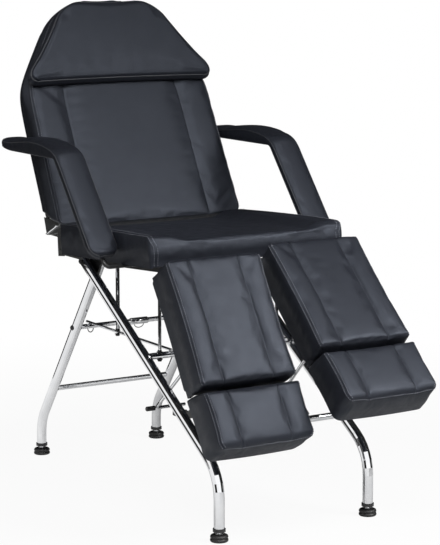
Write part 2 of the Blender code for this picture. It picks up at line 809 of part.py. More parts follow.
def prop_pivot_point(leg_deg):
    along = slope(leg_deg)
    facing = Vector((0.0, along.z, -along.y))
    return hinge_line + along * prop_pivot_along - facing * prop_pivot_depth


def prop_foot_point(leg_deg):
    lean = turn(prop_lean(leg_deg))
    return prop_pivot_point(leg_deg) + Vector((0.0, math.sin(lean), -math.cos(lean))) * prop_length


def mirrored(points, out):
    return [(across * out, up) for across, up in points]


tray_under = tray_top - tray_thickness
slide_top = tray_under - slide_clearance
slide_under = slide_top - slide_thickness
lip_top = slide_under - slide_clearance
lip_under = lip_top - runner_lip_thickness
tray_start = hinge_rod_radius + running_gap + sleeve_wall + weld_gap
tray_length = calf_start + calf_length - tray_start - weld_gap * 4
lip_in = runner_half - runner_wall - runner_lip
slide_half = runner_half - runner_wall - slide_clearance
half_profile = ((tray_half, tray_top), (tray_half, skirt_low), (tray_half - skirt_wall, skirt_low),
                (tray_half - skirt_wall, tray_under), (runner_half, tray_under),
                (runner_half, lip_under), (lip_in, lip_under), (lip_in, lip_top),
                (runner_half - runner_wall, lip_top), (runner_half - runner_wall, tray_under))
tray_profile = list(half_profile) + mirrored(half_profile, -1)[::-1]
lug_profile_top = lip_under - weld_gap
pivot_up = -prop_pivot_depth
ear_low = pivot_up - lug_drop
ear_outer = prop_offset - prop_bend - lug_clearance
ear_inner = prop_offset - prop_pin + lug_clearance
sleeve_bore = hinge_rod_radius + running_gap
sleeve_outside = sleeve_bore + sleeve_wall
sleeve_length = plate_x - weld_gap - sleeve_inner_x
sleeve_profile = ((sleeve_bore, 0.0), (sleeve_outside, 0.0), (sleeve_outside, sleeve_length),
                  (sleeve_bore, sleeve_length))
calf_height = leg_face - tray_top - weld_gap
foot_height_up = leg_face - slide_top - weld_gap
wide_start = calf_start + calf_length + slide_clearance
wide_end = foot_pad_start + foot_pad_length - leg_edge / 2
leg_edges = (leg_edge, leg_edge, leg_edge)
leg_columns = columns(leg_half_width, leg_edge, edge_columns, ((leg_channel, channel_half),))


def extruded(name, profile, length, look, parent, location):
    """Profile in the local X-Z plane, drawn out along Y."""
    shape = bmesh.new()
    face = shape.faces.new([shape.verts.new((across, 0.0, up)) for across, up in profile])
    grown = bmesh.ops.extrude_face_region(shape, geom=[face])["geom"]
    moved = [item for item in grown if isinstance(item, bmesh.types.BMVert)]
    bmesh.ops.translate(shape, verts=moved, vec=(0, length, 0))
    return add_object(name, mesh_from(name, shape, flat_shading_deg), look, parent, location)


def flat_slide(name, parent, location):
    """T-shaped slide: a thin tongue in the runners and a deep box end under the foot pad."""
    shape = bmesh.new()
    tongue = wide_start - slide_back
    near, far = [shape.verts.new((slide_half, along, 0.0)) for along in (tongue, wide_start)]
    near_left, far_left = [shape.verts.new((-slide_half, along, 0.0)) for along in (tongue, wide_start)]
    corners = ((tray_half, wide_start), (tray_half, wide_end),
               (-tray_half, wide_end), (-tray_half, wide_start))
    rim = [shape.verts.new((across, along, 0.0)) for across, along in corners]
    tongue_face = shape.faces.new((near, far, far_left, near_left))
    end_face = shape.faces.new([far] + rim + [far_left])
    plates = bmesh.ops.extrude_face_region(shape, geom=[tongue_face, end_face])["geom"]
    moved = [item for item in plates if isinstance(item, bmesh.types.BMVert)]
    bmesh.ops.translate(shape, verts=moved, vec=(0, 0, slide_thickness))
    deepened = bmesh.ops.extrude_face_region(shape, geom=[end_face])["geom"]
    bmesh.ops.delete(shape, geom=[end_face], context="FACES_ONLY")
    moved = [item for item in deepened if isinstance(item, bmesh.types.BMVert)]
    bmesh.ops.translate(shape, verts=moved, vec=(0, 0, skirt_low - slide_under))
    return add_object(name, mesh_from(name, shape, flat_shading_deg), black_board, parent, location)


for side, way, leg_deg in (("left", -1, left_leg_deg), ("right", 1, right_leg_deg)):
    out = -way
    leg = add_pivot(f"leg_pivot_{side}", None, hinge_line + Vector((way * leg_centre_x, 0, 0)),
                    (turn(-leg_deg), 0, turn(180)))
    revolve(f"leg_hinge_sleeve_{side}", sleeve_profile, black_steel,
            location=hinge_line + Vector((way * sleeve_inner_x, 0, 0)),
            rotation=(0, turn(way * 90), 0), ring=True)
    extruded(f"calf_tray_{side}", tray_profile, tray_length, black_board, leg, (0, tray_start, 0))
    pad(f"calf_cushion_{side}", stations(calf_length, leg_edge, leg_edge, calf_rows, edge_rows),
        leg_columns, leg_half(calf_length), leg_top(calf_height), leg_edges, leather, leg,
        (0, calf_start, tray_top + weld_gap))
    flat_slide(f"foot_slide_{side}", leg, (0, 0, slide_under))
    pad(f"foot_cushion_{side}", stations(foot_pad_length, leg_edge, leg_edge, foot_rows, edge_rows),
        leg_columns, leg_half(foot_pad_length), leg_top(foot_height_up), leg_edges, leather, leg,
        (0, foot_pad_start, slide_top + weld_gap))

    # Lug with two ears that hold the pin of the prop
    low, high = sorted((out * ear_inner, out * ear_outer))
    web = lug_profile_top - lug_thickness
    lug_profile = ((-runner_half, lug_profile_top), (-runner_half, web), (low, web), (low, ear_low),
                   (low + lug_thickness, ear_low), (low + lug_thickness, web),
                   (high - lug_thickness, web), (high - lug_thickness, ear_low), (high, ear_low),
                   (high, web), (runner_half, web), (runner_half, lug_profile_top))
    lug = extruded(f"prop_lug_{side}", lug_profile, lug_length, black_steel, leg,
                   (0, prop_pivot_along - lug_length / 2, 0))
    bore(lug, prop_radius + running_gap, high - low, leg,
         ((low + high) / 2, prop_pivot_along, pivot_up))

    # Prop: one rod bent into a pin, a strut and a foot, with a black grip beside the foot
    lean_in_leg = leg_deg - prop_lean(leg_deg)
    prop = add_pivot(f"prop_pivot_{side}", leg, (0, prop_pivot_along, pivot_up),
                     (turn(lean_in_leg - 90), 0, 0))
    strut_line = out * prop_offset
    bends = ((strut_line - out * prop_pin, 0, 0), (strut_line, 0, 0), (strut_line, prop_length, 0),
             (strut_line - out * prop_foot, prop_length, 0))
    tube(f"prop_{side}", bends, prop_radius, prop_bend, chrome, parent=prop)
    grip_profile = ((0.0, 0.0), (grip_radius, 0.0), (grip_radius, grip_length - grip_edge),
                    (grip_radius - grip_edge, grip_length), (0.0, grip_length))
    revolve(f"prop_grip_{side}", grip_profile, black_plastic, prop,
            (strut_line + out * (prop_radius + weld_gap), prop_length, 0), (0, turn(out * 90), 0))

# Notched racks: their teeth follow the line that the foot of a prop travels
rack_edge = prop_radius + running_gap
teeth = []
spine = []
for step in range(2 * rack_teeth + 1):
    deg = left_leg_deg + (rack_top_deg - left_leg_deg) * step / (2 * rack_teeth)
    here = prop_foot_point(deg)
    ahead = (prop_foot_point(deg - 1) - prop_foot_point(deg + 1)).normalized()
    below = Vector((0.0, -ahead.z, ahead.y))
    if step == 0:
        tail = -ahead * rack_tail
    teeth.append(here + below * (rack_edge + rack_tooth_depth * (step % 2)))
    spine.append(here + below * (rack_edge + rack_depth))
to_rack = (teeth[-1] + spine[-1]) / 2 - front_low
to_rack.normalize()
rack_side = Vector((0.0, -to_rack.z, to_rack.y)) * rack_depth / 2
rack_foot = front_low + to_rack * (front_lower_bar_radius + weld_gap)
rim = [teeth[0] + tail] + teeth + [rack_foot + rack_side, rack_foot - rack_side]
rim += spine[::-1] + [spine[0] + tail]
rack_outline = [(point.y, point.z) for point in rim]
for side, way in sides:
    rack_place = rack_x if way > 0 else -rack_x - rack_thickness
    plate(f"prop_rack_{side}", rack_outline, rack_thickness, black_steel, location=(rack_place, 0, 0))
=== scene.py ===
# %% [markdown]
# # A padded pedicure chair
# The chair stands on four bent chrome tubes. A seat, a reclining back with a head pillow,
# two armrests and two leg rests are all upholstered in black faux leather.
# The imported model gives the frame: every piece here is in metres, the chair faces -Y,
# and +Z is up. The cells below dress that frame, one material or one pad at a time.

# %% Load the frame
import json
import math

import bmesh
import bpy
from mathutils import Matrix, Vector
from mathutils.bvhtree import BVHTree


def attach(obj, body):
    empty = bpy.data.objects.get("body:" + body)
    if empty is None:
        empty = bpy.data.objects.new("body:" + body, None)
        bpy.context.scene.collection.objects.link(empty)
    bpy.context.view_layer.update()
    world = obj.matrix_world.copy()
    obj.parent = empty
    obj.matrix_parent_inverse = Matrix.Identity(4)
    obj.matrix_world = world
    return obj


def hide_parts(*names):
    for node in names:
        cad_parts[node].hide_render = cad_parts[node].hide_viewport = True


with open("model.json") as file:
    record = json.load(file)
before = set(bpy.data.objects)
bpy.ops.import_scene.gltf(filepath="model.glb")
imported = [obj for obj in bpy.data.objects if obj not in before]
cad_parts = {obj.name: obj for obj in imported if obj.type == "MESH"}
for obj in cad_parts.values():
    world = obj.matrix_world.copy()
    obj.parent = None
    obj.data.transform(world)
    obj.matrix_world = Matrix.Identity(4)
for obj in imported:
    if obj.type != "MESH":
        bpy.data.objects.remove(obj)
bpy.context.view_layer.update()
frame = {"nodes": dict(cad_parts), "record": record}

nodes = frame["nodes"]
joint_place = {joint["name"]: joint for joint in frame["record"]["behaviour"]["joints"]}
scene = bpy.context.scene
sides = (("left", -1), ("right", 1))

# %% [markdown]
# ## The camera
# The photograph looks at the chair from its right hand, a little above the seat, through a
# long lens. A camera can be turned by hand until the outlines agree, or worked out from
# points whose places are known. Here the feet, the tubes and the pad corners gave its
# place, its heading, its tilt and its lens, so those numbers are simply written down.

# %% Camera
camera_data = bpy.data.cameras.new("camera")
camera_data.sensor_width = 36.0
camera_data.lens = 139.78
camera = bpy.data.objects.new("camera", camera_data)
scene.collection.objects.link(camera)
camera_spot = Vector((-2.943, -4.8505, 1.518))
heading = math.radians(31.657)
dip = math.radians(9.109)
roll = math.radians(-0.10)
look = Matrix.Rotation(-heading, 4, "Z") @ Matrix.Rotation(math.radians(90) - dip, 4, "X")
camera.matrix_world = Matrix.Translation(camera_spot) @ look @ Matrix.Rotation(roll, 4, "Z")
scene.camera = camera
scene.view_settings.view_transform = "Standard"
print("camera", [round(c, 3) for c in camera.location])

# %% [markdown]
# ## Node helpers for the materials
# Every finish below is a small tree of nodes, so nothing depends on picture files.
# A few short helpers keep each tree readable: one starts a material, one adds a node and
# sets its values, others mix colours and map a noise to a useful range, and the last one
# feeds the shader.


# %% Node helpers
def start_material(name):
    material = bpy.data.materials.new(name)
    material.use_nodes = True
    tree = material.node_tree
    return material, tree, tree.nodes["Principled BSDF"]


def add_node(tree, kind, inputs=None, **settings):
    node = tree.nodes.new(kind)
    for key, value in settings.items():
        setattr(node, key, value)
    for key, value in (inputs or {}).items():
        if isinstance(value, bpy.types.NodeSocket):
            tree.links.new(value, node.inputs[key])
        else:
            node.inputs[key].default_value = value
    return node


def noise(tree, place, scale, detail=3.0, rough=0.5):
    return add_node(tree, "ShaderNodeTexNoise",
                    {"Vector": place, "Scale": scale, "Detail": detail, "Roughness": rough}).outputs["Fac"]


def ranged(tree, value, low, high, start=0.3, end=0.7):
    return add_node(tree, "ShaderNodeMapRange",
                    {"Value": value, "From Min": start, "From Max": end, "To Min": low,
                     "To Max": high}).outputs["Result"]


def blend_colour(tree, share, first, second):
    mix = add_node(tree, "ShaderNodeMix", data_type="RGBA")
    for socket, value in ((mix.inputs[0], share), (mix.inputs[6], first), (mix.inputs[7], second)):
        if isinstance(value, bpy.types.NodeSocket):
            tree.links.new(value, socket)
        else:
            socket.default_value = value
    return mix.outputs[2]


def math_node(tree, operation, first, second):
    node = add_node(tree, "ShaderNodeMath", {0: first, 1: second}, operation=operation)
    return node.outputs[0]


def bump(tree, height, strength, distance, under=None):
    inputs = {"Height": height, "Strength": strength, "Distance": distance}
    if under is not None:
        inputs["Normal"] = under
    return add_node(tree, "ShaderNodeBump", inputs).outputs["Normal"]


def object_place(tree):
    return add_node(tree, "ShaderNodeTexCoord").outputs["Object"]


def plug(tree, shader, colour, rough, normal):
    """Feed a shader its colour, its roughness and its bumps."""
    for key, value in (("Base Color", colour), ("Roughness", rough), ("Normal", normal)):
        tree.links.new(value, shader.inputs[key])


print("node helpers ready")

# %% [markdown]
# ## Black faux leather
# The covers are vinyl with a pressed grain: shallow cells about a millimetre across, finer
# pores inside them, and a slow unevenness where the foam pushes from below. Ridges that
# people rub turn a little smoother and paler. A picture of leather would need unwrapping;
# cell and noise textures in metres fit every pad at one true scale instead.


# %% Leather
def make_leather(name, dark, light, rough_low, rough_high):
    material, tree, shader = start_material(name)
    place = object_place(tree)
    cells = add_node(tree, "ShaderNodeTexVoronoi", {"Vector": place, "Scale": 720.0, "Randomness": 0.9},
                     feature="DISTANCE_TO_EDGE").outputs["Distance"]
    valley = ranged(tree, cells, 0.0, 1.0, 0.0, 0.12)
    pores = noise(tree, place, 2600.0, 2.0)
    slow = noise(tree, place, 34.0, 3.0)
    clouds = noise(tree, place, 7.0, 4.0)
    ridge = add_node(tree, "ShaderNodeNewGeometry").outputs["Pointiness"]
    rubbed = ranged(tree, ridge, 0.0, 1.0, 0.53, 0.62)
    base = blend_colour(tree, ranged(tree, clouds, 0.0, 1.0), dark, light)
    worn = tuple(channel * 1.5 for channel in light[:3]) + (1.0,)
    base = blend_colour(tree, math_node(tree, "MULTIPLY", rubbed, 0.6), base, worn)
    pressed = tuple(channel * 0.6 for channel in dark[:3]) + (1.0,)
    colour = blend_colour(tree, valley, pressed, base)
    rough = ranged(tree, slow, rough_low, rough_high)
    rough = math_node(tree, "SUBTRACT", rough, math_node(tree, "MULTIPLY", rubbed, 0.06))
    soft = bump(tree, slow, 0.10, 0.0025)
    grain = bump(tree, valley, 0.22, 0.0004, soft)
    plug(tree, shader, colour, rough, bump(tree, pores, 0.12, 0.0002, grain))
    shader.inputs["Specular IOR Level"].default_value = 0.40
    shader.inputs["Specular Tint"].default_value = (0.76, 0.84, 1.0, 1.0)
    return material


leather_dark = (0.0118, 0.0128, 0.0176, 1.0)
leather_light = (0.0165, 0.0180, 0.0240, 1.0)
leather = make_leather("black_faux_leather", leather_dark, leather_light, 0.44, 0.53)
print("made", leather.name)

# %% [markdown]
# ## Stitching thread and piping
# The seams are sewn with a thread that is partly paler in its own right and partly lightened
# further as a painted highlight of the seam ridge, and the pillow and armrests have a thin
# piped edge of the same vinyl, stretched so tight that its grain is almost gone.


# %% Thread and piping
def make_thread():
    material, tree, shader = start_material("black_thread")
    place = object_place(tree)
    twist = add_node(tree, "ShaderNodeTexWave", {"Vector": place, "Scale": 420.0, "Distortion": 0.6},
                     bands_direction="DIAGONAL").outputs["Fac"]
    # Pale grey thread: partly the thread's own colour, partly a painted highlight of the seam ridge.
    colour = blend_colour(tree, twist, (0.15, 0.16, 0.19, 1.0), (0.24, 0.25, 0.295, 1.0))
    plug(tree, shader, colour, ranged(tree, twist, 0.48, 0.62), bump(tree, twist, 0.3, 0.0002))
    shader.inputs["Sheen Weight"].default_value = 0.15
    return material


def make_piping():
    material, tree, shader = start_material("black_piping")
    place = object_place(tree)
    slow = noise(tree, place, 60.0)
    fine = noise(tree, place, 1800.0, 2.0)
    colour = blend_colour(tree, slow, (0.034, 0.036, 0.043, 1.0), (0.052, 0.055, 0.065, 1.0))
    plug(tree, shader, colour, ranged(tree, slow, 0.34, 0.44), bump(tree, fine, 0.12, 0.0002))
    shader.inputs["Specular IOR Level"].default_value = 0.4
    return material


thread = make_thread()
piping = make_piping()
print("made", thread.name, piping.name)

# %% [markdown]
# ## Chrome, steel and paint
# Chrome plating is a mirror with a faint blue cast: what makes it look real is a trace of
# polishing lines and a few dull smudges, so its roughness wanders instead of staying put.
# The hinge plates are dull zinc with a brushed grain, and the black steel parts carry a
# powder coat with its fine orange-peel skin.


# %% Metals
def make_chrome():
    material, tree, shader = start_material("bright_chrome")
    place = object_place(tree)
    smudge = noise(tree, place, 16.0, 5.0, 0.6)
    polish = noise(tree, place, 900.0, 2.0)
    colour = blend_colour(tree, ranged(tree, smudge, 0.0, 1.0),
                          (0.76, 0.77, 0.79, 1.0), (0.87, 0.875, 0.885, 1.0))
    plug(tree, shader, colour, ranged(tree, smudge, 0.035, 0.10), bump(tree, polish, 0.03, 0.0001))
    shader.inputs["Metallic"].default_value = 1.0
    return material


def make_zinc():
    material, tree, shader = start_material("zinc_plate")
    place = object_place(tree)
    stretch = add_node(tree, "ShaderNodeMapping",
                       {"Vector": place, "Scale": (60.0, 1.0, 60.0)}).outputs["Vector"]
    lines = noise(tree, stretch, 18.0, 4.0, 0.7)
    spots = noise(tree, place, 70.0, 4.0)
    colour = blend_colour(tree, spots, (0.26, 0.265, 0.27, 1.0), (0.42, 0.42, 0.415, 1.0))
    plug(tree, shader, colour, ranged(tree, lines, 0.24, 0.46), bump(tree, lines, 0.12, 0.0002))
    shader.inputs["Metallic"].default_value = 1.0
    return material


def make_coated(name, dark, light, rough_low, rough_high, skin_scale, skin_strength, level=0.5):
    """A dull black finish: paint, moulded plastic, rubber or covered board."""
    material, tree, shader = start_material(name)
    place = object_place(tree)
    skin = noise(tree, place, skin_scale, 3.0)
    patches = noise(tree, place, 22.0, 4.0)
    ridge = add_node(tree, "ShaderNodeNewGeometry").outputs["Pointiness"]
    rubbed = ranged(tree, ridge, 0.0, 0.7, 0.54, 0.66)
    colour = blend_colour(tree, ranged(tree, patches, 0.0, 1.0), dark, light)
    worn = tuple(channel * 2.2 for channel in light[:3]) + (1.0,)
    plug(tree, shader, blend_colour(tree, rubbed, colour, worn),
         ranged(tree, patches, rough_low, rough_high), bump(tree, skin, skin_strength, 0.0003))
    shader.inputs["Specular IOR Level"].default_value = level
    return material


chrome = make_chrome()
zinc = make_zinc()
powder_coat = make_coated("black_powder_coat", (0.012, 0.012, 0.013, 1), (0.020, 0.020, 0.021, 1),
                          0.34, 0.46, 750.0, 0.16)
plastic = make_coated("moulded_black_plastic", (0.010, 0.010, 0.011, 1), (0.016, 0.016, 0.017, 1),
                      0.38, 0.52, 1900.0, 0.20)
rubber = make_coated("foot_rubber", (0.009, 0.009, 0.010, 1), (0.015, 0.015, 0.015, 1),
                     0.42, 0.60, 1200.0, 0.18)
board_cloth = make_coated("black_board_cloth", (0.010, 0.0095, 0.0095, 1), (0.019, 0.018, 0.018, 1),
                          0.78, 0.92, 1500.0, 0.5, level=0.2)
print("made", chrome.name, zinc.name, powder_coat.name, plastic.name, rubber.name, board_cloth.name)

# %% [markdown]
# ## Materials for the plain CAD pieces
# Tubes, rods, plates and boards already have the right shape, so they stay and only take a
# finish. Which finish each one takes is already in the record: its material slot. The trays
# of the leg rests and the board of the back are wrapped in the same vinyl as the pads.

# %% Finish the CAD nodes
finish_of_slot = {"chrome": chrome, "bright_steel": zinc, "black_steel": powder_coat,
                  "black_plastic": plastic, "black_rubber": rubber, "black_board": board_cloth,
                  "black_leather": leather}
slot_of_node = {row["node"]: row["material_slot"] for row in frame["record"]["subparts"]}
covered = ("calf_tray", "foot_slide", "back_board", "seat_board")
for name, thing in nodes.items():
    finish = leather if name.startswith(covered) else finish_of_slot[slot_of_node[name]]
    if not thing.material_slots:
        thing.data.materials.append(finish)
    for place in thing.material_slots:
        place.material = finish
print("finished", len(nodes), "nodes")

# %% [markdown]
# ## Frames of reference
# Each pad is drawn flat, as if on a bench: x across it, y along it and z up from its base.
# A matrix then stands it where the CAD has it. The joints in the record give the hinge
# lines, and the angles of the seat, the back and the two leg rests are written here.

# %% Places of the pads
seat_tilt = math.radians(2.8)
back_angle = math.radians(63.1)
leg_angle = {"left": math.radians(58.3027), "right": math.radians(43.1027)}
half_turn = Matrix.Rotation(math.pi, 4, "Z")

seat_spot = Vector((0.0, 0.275535, 0.650051))
seat_place = Matrix.Translation(seat_spot) @ half_turn @ Matrix.Rotation(seat_tilt, 4, "X")
back_pin = Vector(joint_place["back_recline"]["pos_m"])
back_place = Matrix.Translation(back_pin) @ Matrix.Rotation(back_angle, 4, "X")
leg_place = {}
for side, way in sides:
    hinge = Vector(joint_place[f"{side}_leg_raise"]["pos_m"])
    leg_place[side] = Matrix.Translation(hinge) @ half_turn @ Matrix.Rotation(-leg_angle[side], 4, "X")
print("back pin", [round(c, 4) for c in back_pin])

# %% [markdown]
# ## How a pad is made
# Upholstery has a top panel, a boxed strip round its sides and a flat base on the board.
# A sculpted block would look soft but its seams would wander, and a voxel remesh would
# rub them out. So each pad is a ruled sheet whose rows and columns run along the seams:
# close together at a seam or an edge, wider on the open panel. The strip hangs from the
# rim of that sheet, and the base closes it.


# %% Pad helpers
def round_over(distance, radius):
    """Height lost at this distance from a rounded edge."""
    inside = max(distance, 0.0)
    if inside >= radius:
        return 0.0
    return radius - math.sqrt(radius ** 2 - (radius - inside) ** 2)


def ease(value, start, end):
    """Smooth step from 0 at start to 1 at end."""
    share = min(max((value - start) / (end - start), 0.0), 1.0)
    return share * share * (3 - 2 * share)


def dip_at(value, middle, half):
    """Soft groove: 1 at its middle, fading out on both sides."""
    off = (value - middle) / half
    return math.exp(-off * off)


def soft_max(first, second):
    return (first ** 3 + second ** 3) ** (1 / 3)


def fill(marks, step):
    """Every mark, with even steps between neighbours that are too far apart."""
    places = [marks[0]]
    for mark in marks[1:]:
        start = places[-1]
        parts = max(1, math.ceil((mark - start) / step - 0.01))
        places += [start + (mark - start) * part / parts for part in range(1, parts + 1)]
    return places


def crease(across, along, line):
    """A fold in the cover: a short groove that fades out at both ends."""
    x0, y0, x1, y1, half, depth = line
    run = Vector((x1 - x0, y1 - y0))
    span = run.length
    run /= span
    off = Vector((across - x0, along - y0))
    ahead = off.dot(run)
    if ahead < 0 or ahead > span:
        return 0.0
    beside = (off.x * run.y - off.y * run.x) / half
    return depth * math.sin(math.pi * ahead / span) * math.exp(-beside * beside)


def edge_marks(edge, seam):
    """Distances in from a rim: the rim itself, the round edge and the seam on it."""
    return [0.0, edge * 0.06, seam - 0.0016, seam, seam + 0.0016, seam + 0.004, edge * 0.72, edge * 1.05]


def edge_columns(half, edge, seam):
    """The same marks as distances from the middle of a pad."""
    return [half - inset for inset in edge_marks(edge, seam)][::-1]


def both_ways(across, half):
    """Columns from one side of a pad to the other, as shares of its half width."""
    return [-x / half for x in across[:0:-1]] + [x / half for x in across]


def mesh_object(name, shape, finish, smooth=True):
    """Turn a built shape into an object with one finish."""
    mesh = bpy.data.meshes.new(name)
    shape.to_mesh(mesh)
    shape.free()
    if smooth:
        mesh.shade_smooth()
    thing = bpy.data.objects.new(name, mesh)
    scene.collection.objects.link(thing)
    mesh.materials.append(finish)
    return thing


print("pad helpers ready")

# %% [markdown]
# ### The pad maker
# The sheet comes first, row by row. Rings of points then go down from its rim: they swell
# a little on the way and tuck in at the base. On some pads a skirt goes on below, where the
# real cover is pulled over the board's edge and stapled. The lower edges stay sharp.

# %% The pad maker
wall_rings = 5
skirt_wall = 0.0026
skirt_least = 0.0006
base_end = 0.009


def make_pad(name, rows, shares, half_width, top, place, bulge,
             tuck=0.004, draw=(0.003, 0.003), skirt=None):
    """One closed pad: a top sheet, a boxed strip below its rim and a flat base.

    A skirt carries the strip on below the base, over the edge of the board.
    """
    length = rows[-1]
    sheet = []
    for along in rows:
        half = half_width(along)
        line = []
        for share in shares:
            pull = (1 - share * share) * (draw[0] * (1 - along / length) - draw[1] * along / length)
            line.append((half * share, along + pull, top(half * share, along)))
        sheet.append(line)
    shape = bmesh.new()
    grid = [[shape.verts.new(place(*spot)) for spot in line] for line in sheet]
    last_row = len(rows) - 1
    last_column = len(shares) - 1
    rim = [(0, column) for column in range(last_column)]
    rim += [(row, last_column) for row in range(last_row)]
    rim += [(last_row, column) for column in range(last_column, 0, -1)]
    rim += [(row, 0) for row in range(last_row, 0, -1)]
    rings = [[grid[row][column] for row, column in rim]]
    flat = [sheet[row][column] for row, column in rim]
    outward = []
    for before, after in zip(flat[-1:] + flat[:-1], flat[1:] + flat[:1]):
        run = Vector((after[0] - before[0], after[1] - before[1])).normalized()
        outward.append((run.y, -run.x))
    for step in range(1, wall_rings + 1):
        share = step / wall_rings
        ring = []
        for spot, out in zip(flat, outward):
            swell = bulge(spot[1]) * math.sin(math.pi * share) - tuck * share ** 4
            ring.append(shape.verts.new(place(spot[0] + out[0] * swell, spot[1] + out[1] * swell,
                                              spot[2] * (1 - share))))
        rings.append(ring)
    for inward, fall in ((0.0, 1.0), (skirt_wall, 1.0), (skirt_wall, 0.0)) if skirt else ():
        ring = []
        for spot, out in zip(flat, outward):
            swell = -tuck - inward
            drop = max(skirt(spot[0], spot[1]), skirt_least) * fall
            ring.append(shape.verts.new(place(spot[0] + out[0] * swell, spot[1] + out[1] * swell, -drop)))
        rings.append(ring)
    for row, after in zip(grid, grid[1:]):
        for near, far, far_up, near_up in zip(row, row[1:], after[1:], after):
            shape.faces.new((near, far, far_up, near_up))
    for ring, below in zip(rings, rings[1:]):
        for spot in range(len(rim)):
            following = (spot + 1) % len(rim)
            shape.faces.new((ring[spot], below[spot], below[following], ring[following]))
    base = dict(zip(rim, rings[-1]))
    inner = [row for row in range(last_row) if base_end < rows[row] < length - base_end]
    stops = [0] + inner + [last_row]
    for low, high in zip(stops, stops[1:]):
        right = [base[row, last_column] for row in range(low, high + 1)]
        left = [base[row, 0] for row in range(high, low - 1, -1)]
        first_end = last_end = []
        if low == 0:
            first_end = [base[0, column] for column in range(1, last_column)]
        if high == last_row:
            last_end = [base[last_row, column] for column in range(last_column - 1, 0, -1)]
        shape.faces.new((first_end + right + last_end + left)[::-1])
    bmesh.ops.recalc_face_normals(shape, faces=shape.faces)
    sharp = shape.edges.layers.float.new("crease_edge")
    for ring in rings[wall_rings + 1:] or rings[-1:]:
        for near, far in zip(ring, ring[1:] + ring[:1]):
            rim_edge = shape.edges.get((near, far))
            rim_edge[sharp] = 1.0
            rim_edge.smooth = False
    shape.verts.index_update()
    index_grid = [[vert.index for vert in row] for row in grid]
    index_rings = [[vert.index for vert in ring] for ring in rings]
    return {"object": mesh_object(name, shape, leather), "grid": index_grid, "rings": index_rings,
            "rim": rim, "shares": shares}


def even(value):
    """The same bulge all round a pad."""
    return lambda along: value


def laid(matrix, across, along, up):
    """A pad's own bench at this spot, stood in place by a matrix."""
    return lambda x, y, z: matrix @ Vector((across + x, along + y, up + z))


def leaned(place, height, top_shift, base_shift, reach=0.030):
    """Lean the near end of a pad by moving its top and its base by different amounts."""
    def spot(x, y, z):
        near = max(1 - y / reach, 0.0)
        return place(x, y + near * (top_shift * z + base_shift(x) * (height - z)) / height, z)
    return spot


print("pad maker ready")

# %% [markdown]
# ## Stuffing the pads
# A real cover is cut a little small and stretched over foam, so its panels swell between
# the seams. Cloth with a gentle inner pressure does the same: the base, the seams and the
# rim are pinned, the panels are free, and twenty frames let them fill. The movement is
# softly capped, so that a pad keeps to the room its solid has, and the result is written
# into the mesh. All pads are stuffed together, because one run is quicker than nine.

# %% Stuffing
stuffing_frames = 20
cloth_settings = {"quality": 6, "mass": 0.4, "tension_stiffness": 25.0, "compression_stiffness": 25.0,
                  "shear_stiffness": 10.0, "bending_stiffness": 1.0, "shrink_min": -0.006,
                  "use_pressure": True, "uniform_pressure_force": 1.3}
pads = []


def pin(pad, rows=(), columns=(), rim=True):
    """Hold the base, the rim and the sewn lines; leave the panels free."""
    thing = pad["object"]
    group = thing.vertex_groups.new(name="sewn")
    held = {spot for ring in pad["rings"][wall_rings - 1:] for spot in ring}
    if rim:
        held |= set(pad["rings"][0])
    for row in rows:
        held |= set(pad["grid"][row])
    for column in columns:
        held |= {line[column] for line in pad["grid"]}
    group.add(sorted(held), 1.0, "REPLACE")
    pads.append(pad)


def stuff(most_for):
    """Fill every pad by cloth pressure and write the shape into its mesh."""
    for pad in pads:
        cloth = pad["object"].modifiers.new("stuffing", "CLOTH")
        for key, value in cloth_settings.items():
            setattr(cloth.settings, key, value)
        cloth.settings.effector_weights.gravity = 0.0
        cloth.settings.vertex_group_mass = "sewn"
        cloth.collision_settings.use_collision = False
        cloth.collision_settings.use_self_collision = False
    for step in range(1, stuffing_frames + 1):
        scene.frame_set(step)
    graph = bpy.context.evaluated_depsgraph_get()
    for pad in pads:
        thing = pad["object"]
        filled = [vert.co.copy() for vert in thing.evaluated_get(graph).data.vertices]
        thing.modifiers.remove(thing.modifiers["stuffing"])
        most = 0.0
        cap = most_for(thing.name)
        for vert, spot in zip(thing.data.vertices, filled):
            move = spot - vert.co
            most = max(most, move.length)
            if move.length > 1e-7:
                vert.co += move * (cap * math.tanh(move.length / cap) / move.length)
        print(thing.name, "swelled by up to", round(most * 1000, 1), "mm")
    scene.frame_set(1)


print("cloth runs for", stuffing_frames, "frames")

# %% [markdown]
# ## The seat
# The seat pad has a low trough between two side bolsters. The bolsters roll over at the
# front in a wide curve, and the trough in a tight one, which is the bright line that the
# photograph shows. The flat side panels meet the top in a sewn edge that follows the roll
# down to the board.

# %% Seat pad
seat_length = 0.500
seat_half_width = 0.298
seat_height = 0.070
seat_lift = 0.0153
seat_edge = 0.008
seat_corner = 0.009
roll_middle = 0.013
roll_side = 0.032
trough_floor = 0.180
trough_rim = 0.246
trough_depth = 0.017
seam_depth = 0.0012
seat_seam = 0.0032


def seat_half(along):
    corner = round_over(along, seat_corner) + round_over(seat_length - along, seat_corner)
    return seat_half_width - corner - 0.002 * math.sin(math.pi * along / seat_length)


def seat_top(across, along):
    inset = seat_half(along) - abs(across)
    front = seat_length - along
    bolster = ease(abs(across), trough_floor, trough_rim)
    roll = roll_middle + (roll_side - roll_middle) * bolster
    lost = soft_max(round_over(inset, seat_edge), round_over(front, roll))
    lost = soft_max(lost, round_over(along, seat_edge))
    crown = 0.003 * math.sin(math.pi * along / seat_length)
    ripple = sum(crease(across, along, line) for line in seat_creases)
    sewn = seam_depth * dip_at(inset, seat_seam, 0.0018)
    return seat_height + crown - trough_depth * (1 - bolster) - lost - ripple - sewn


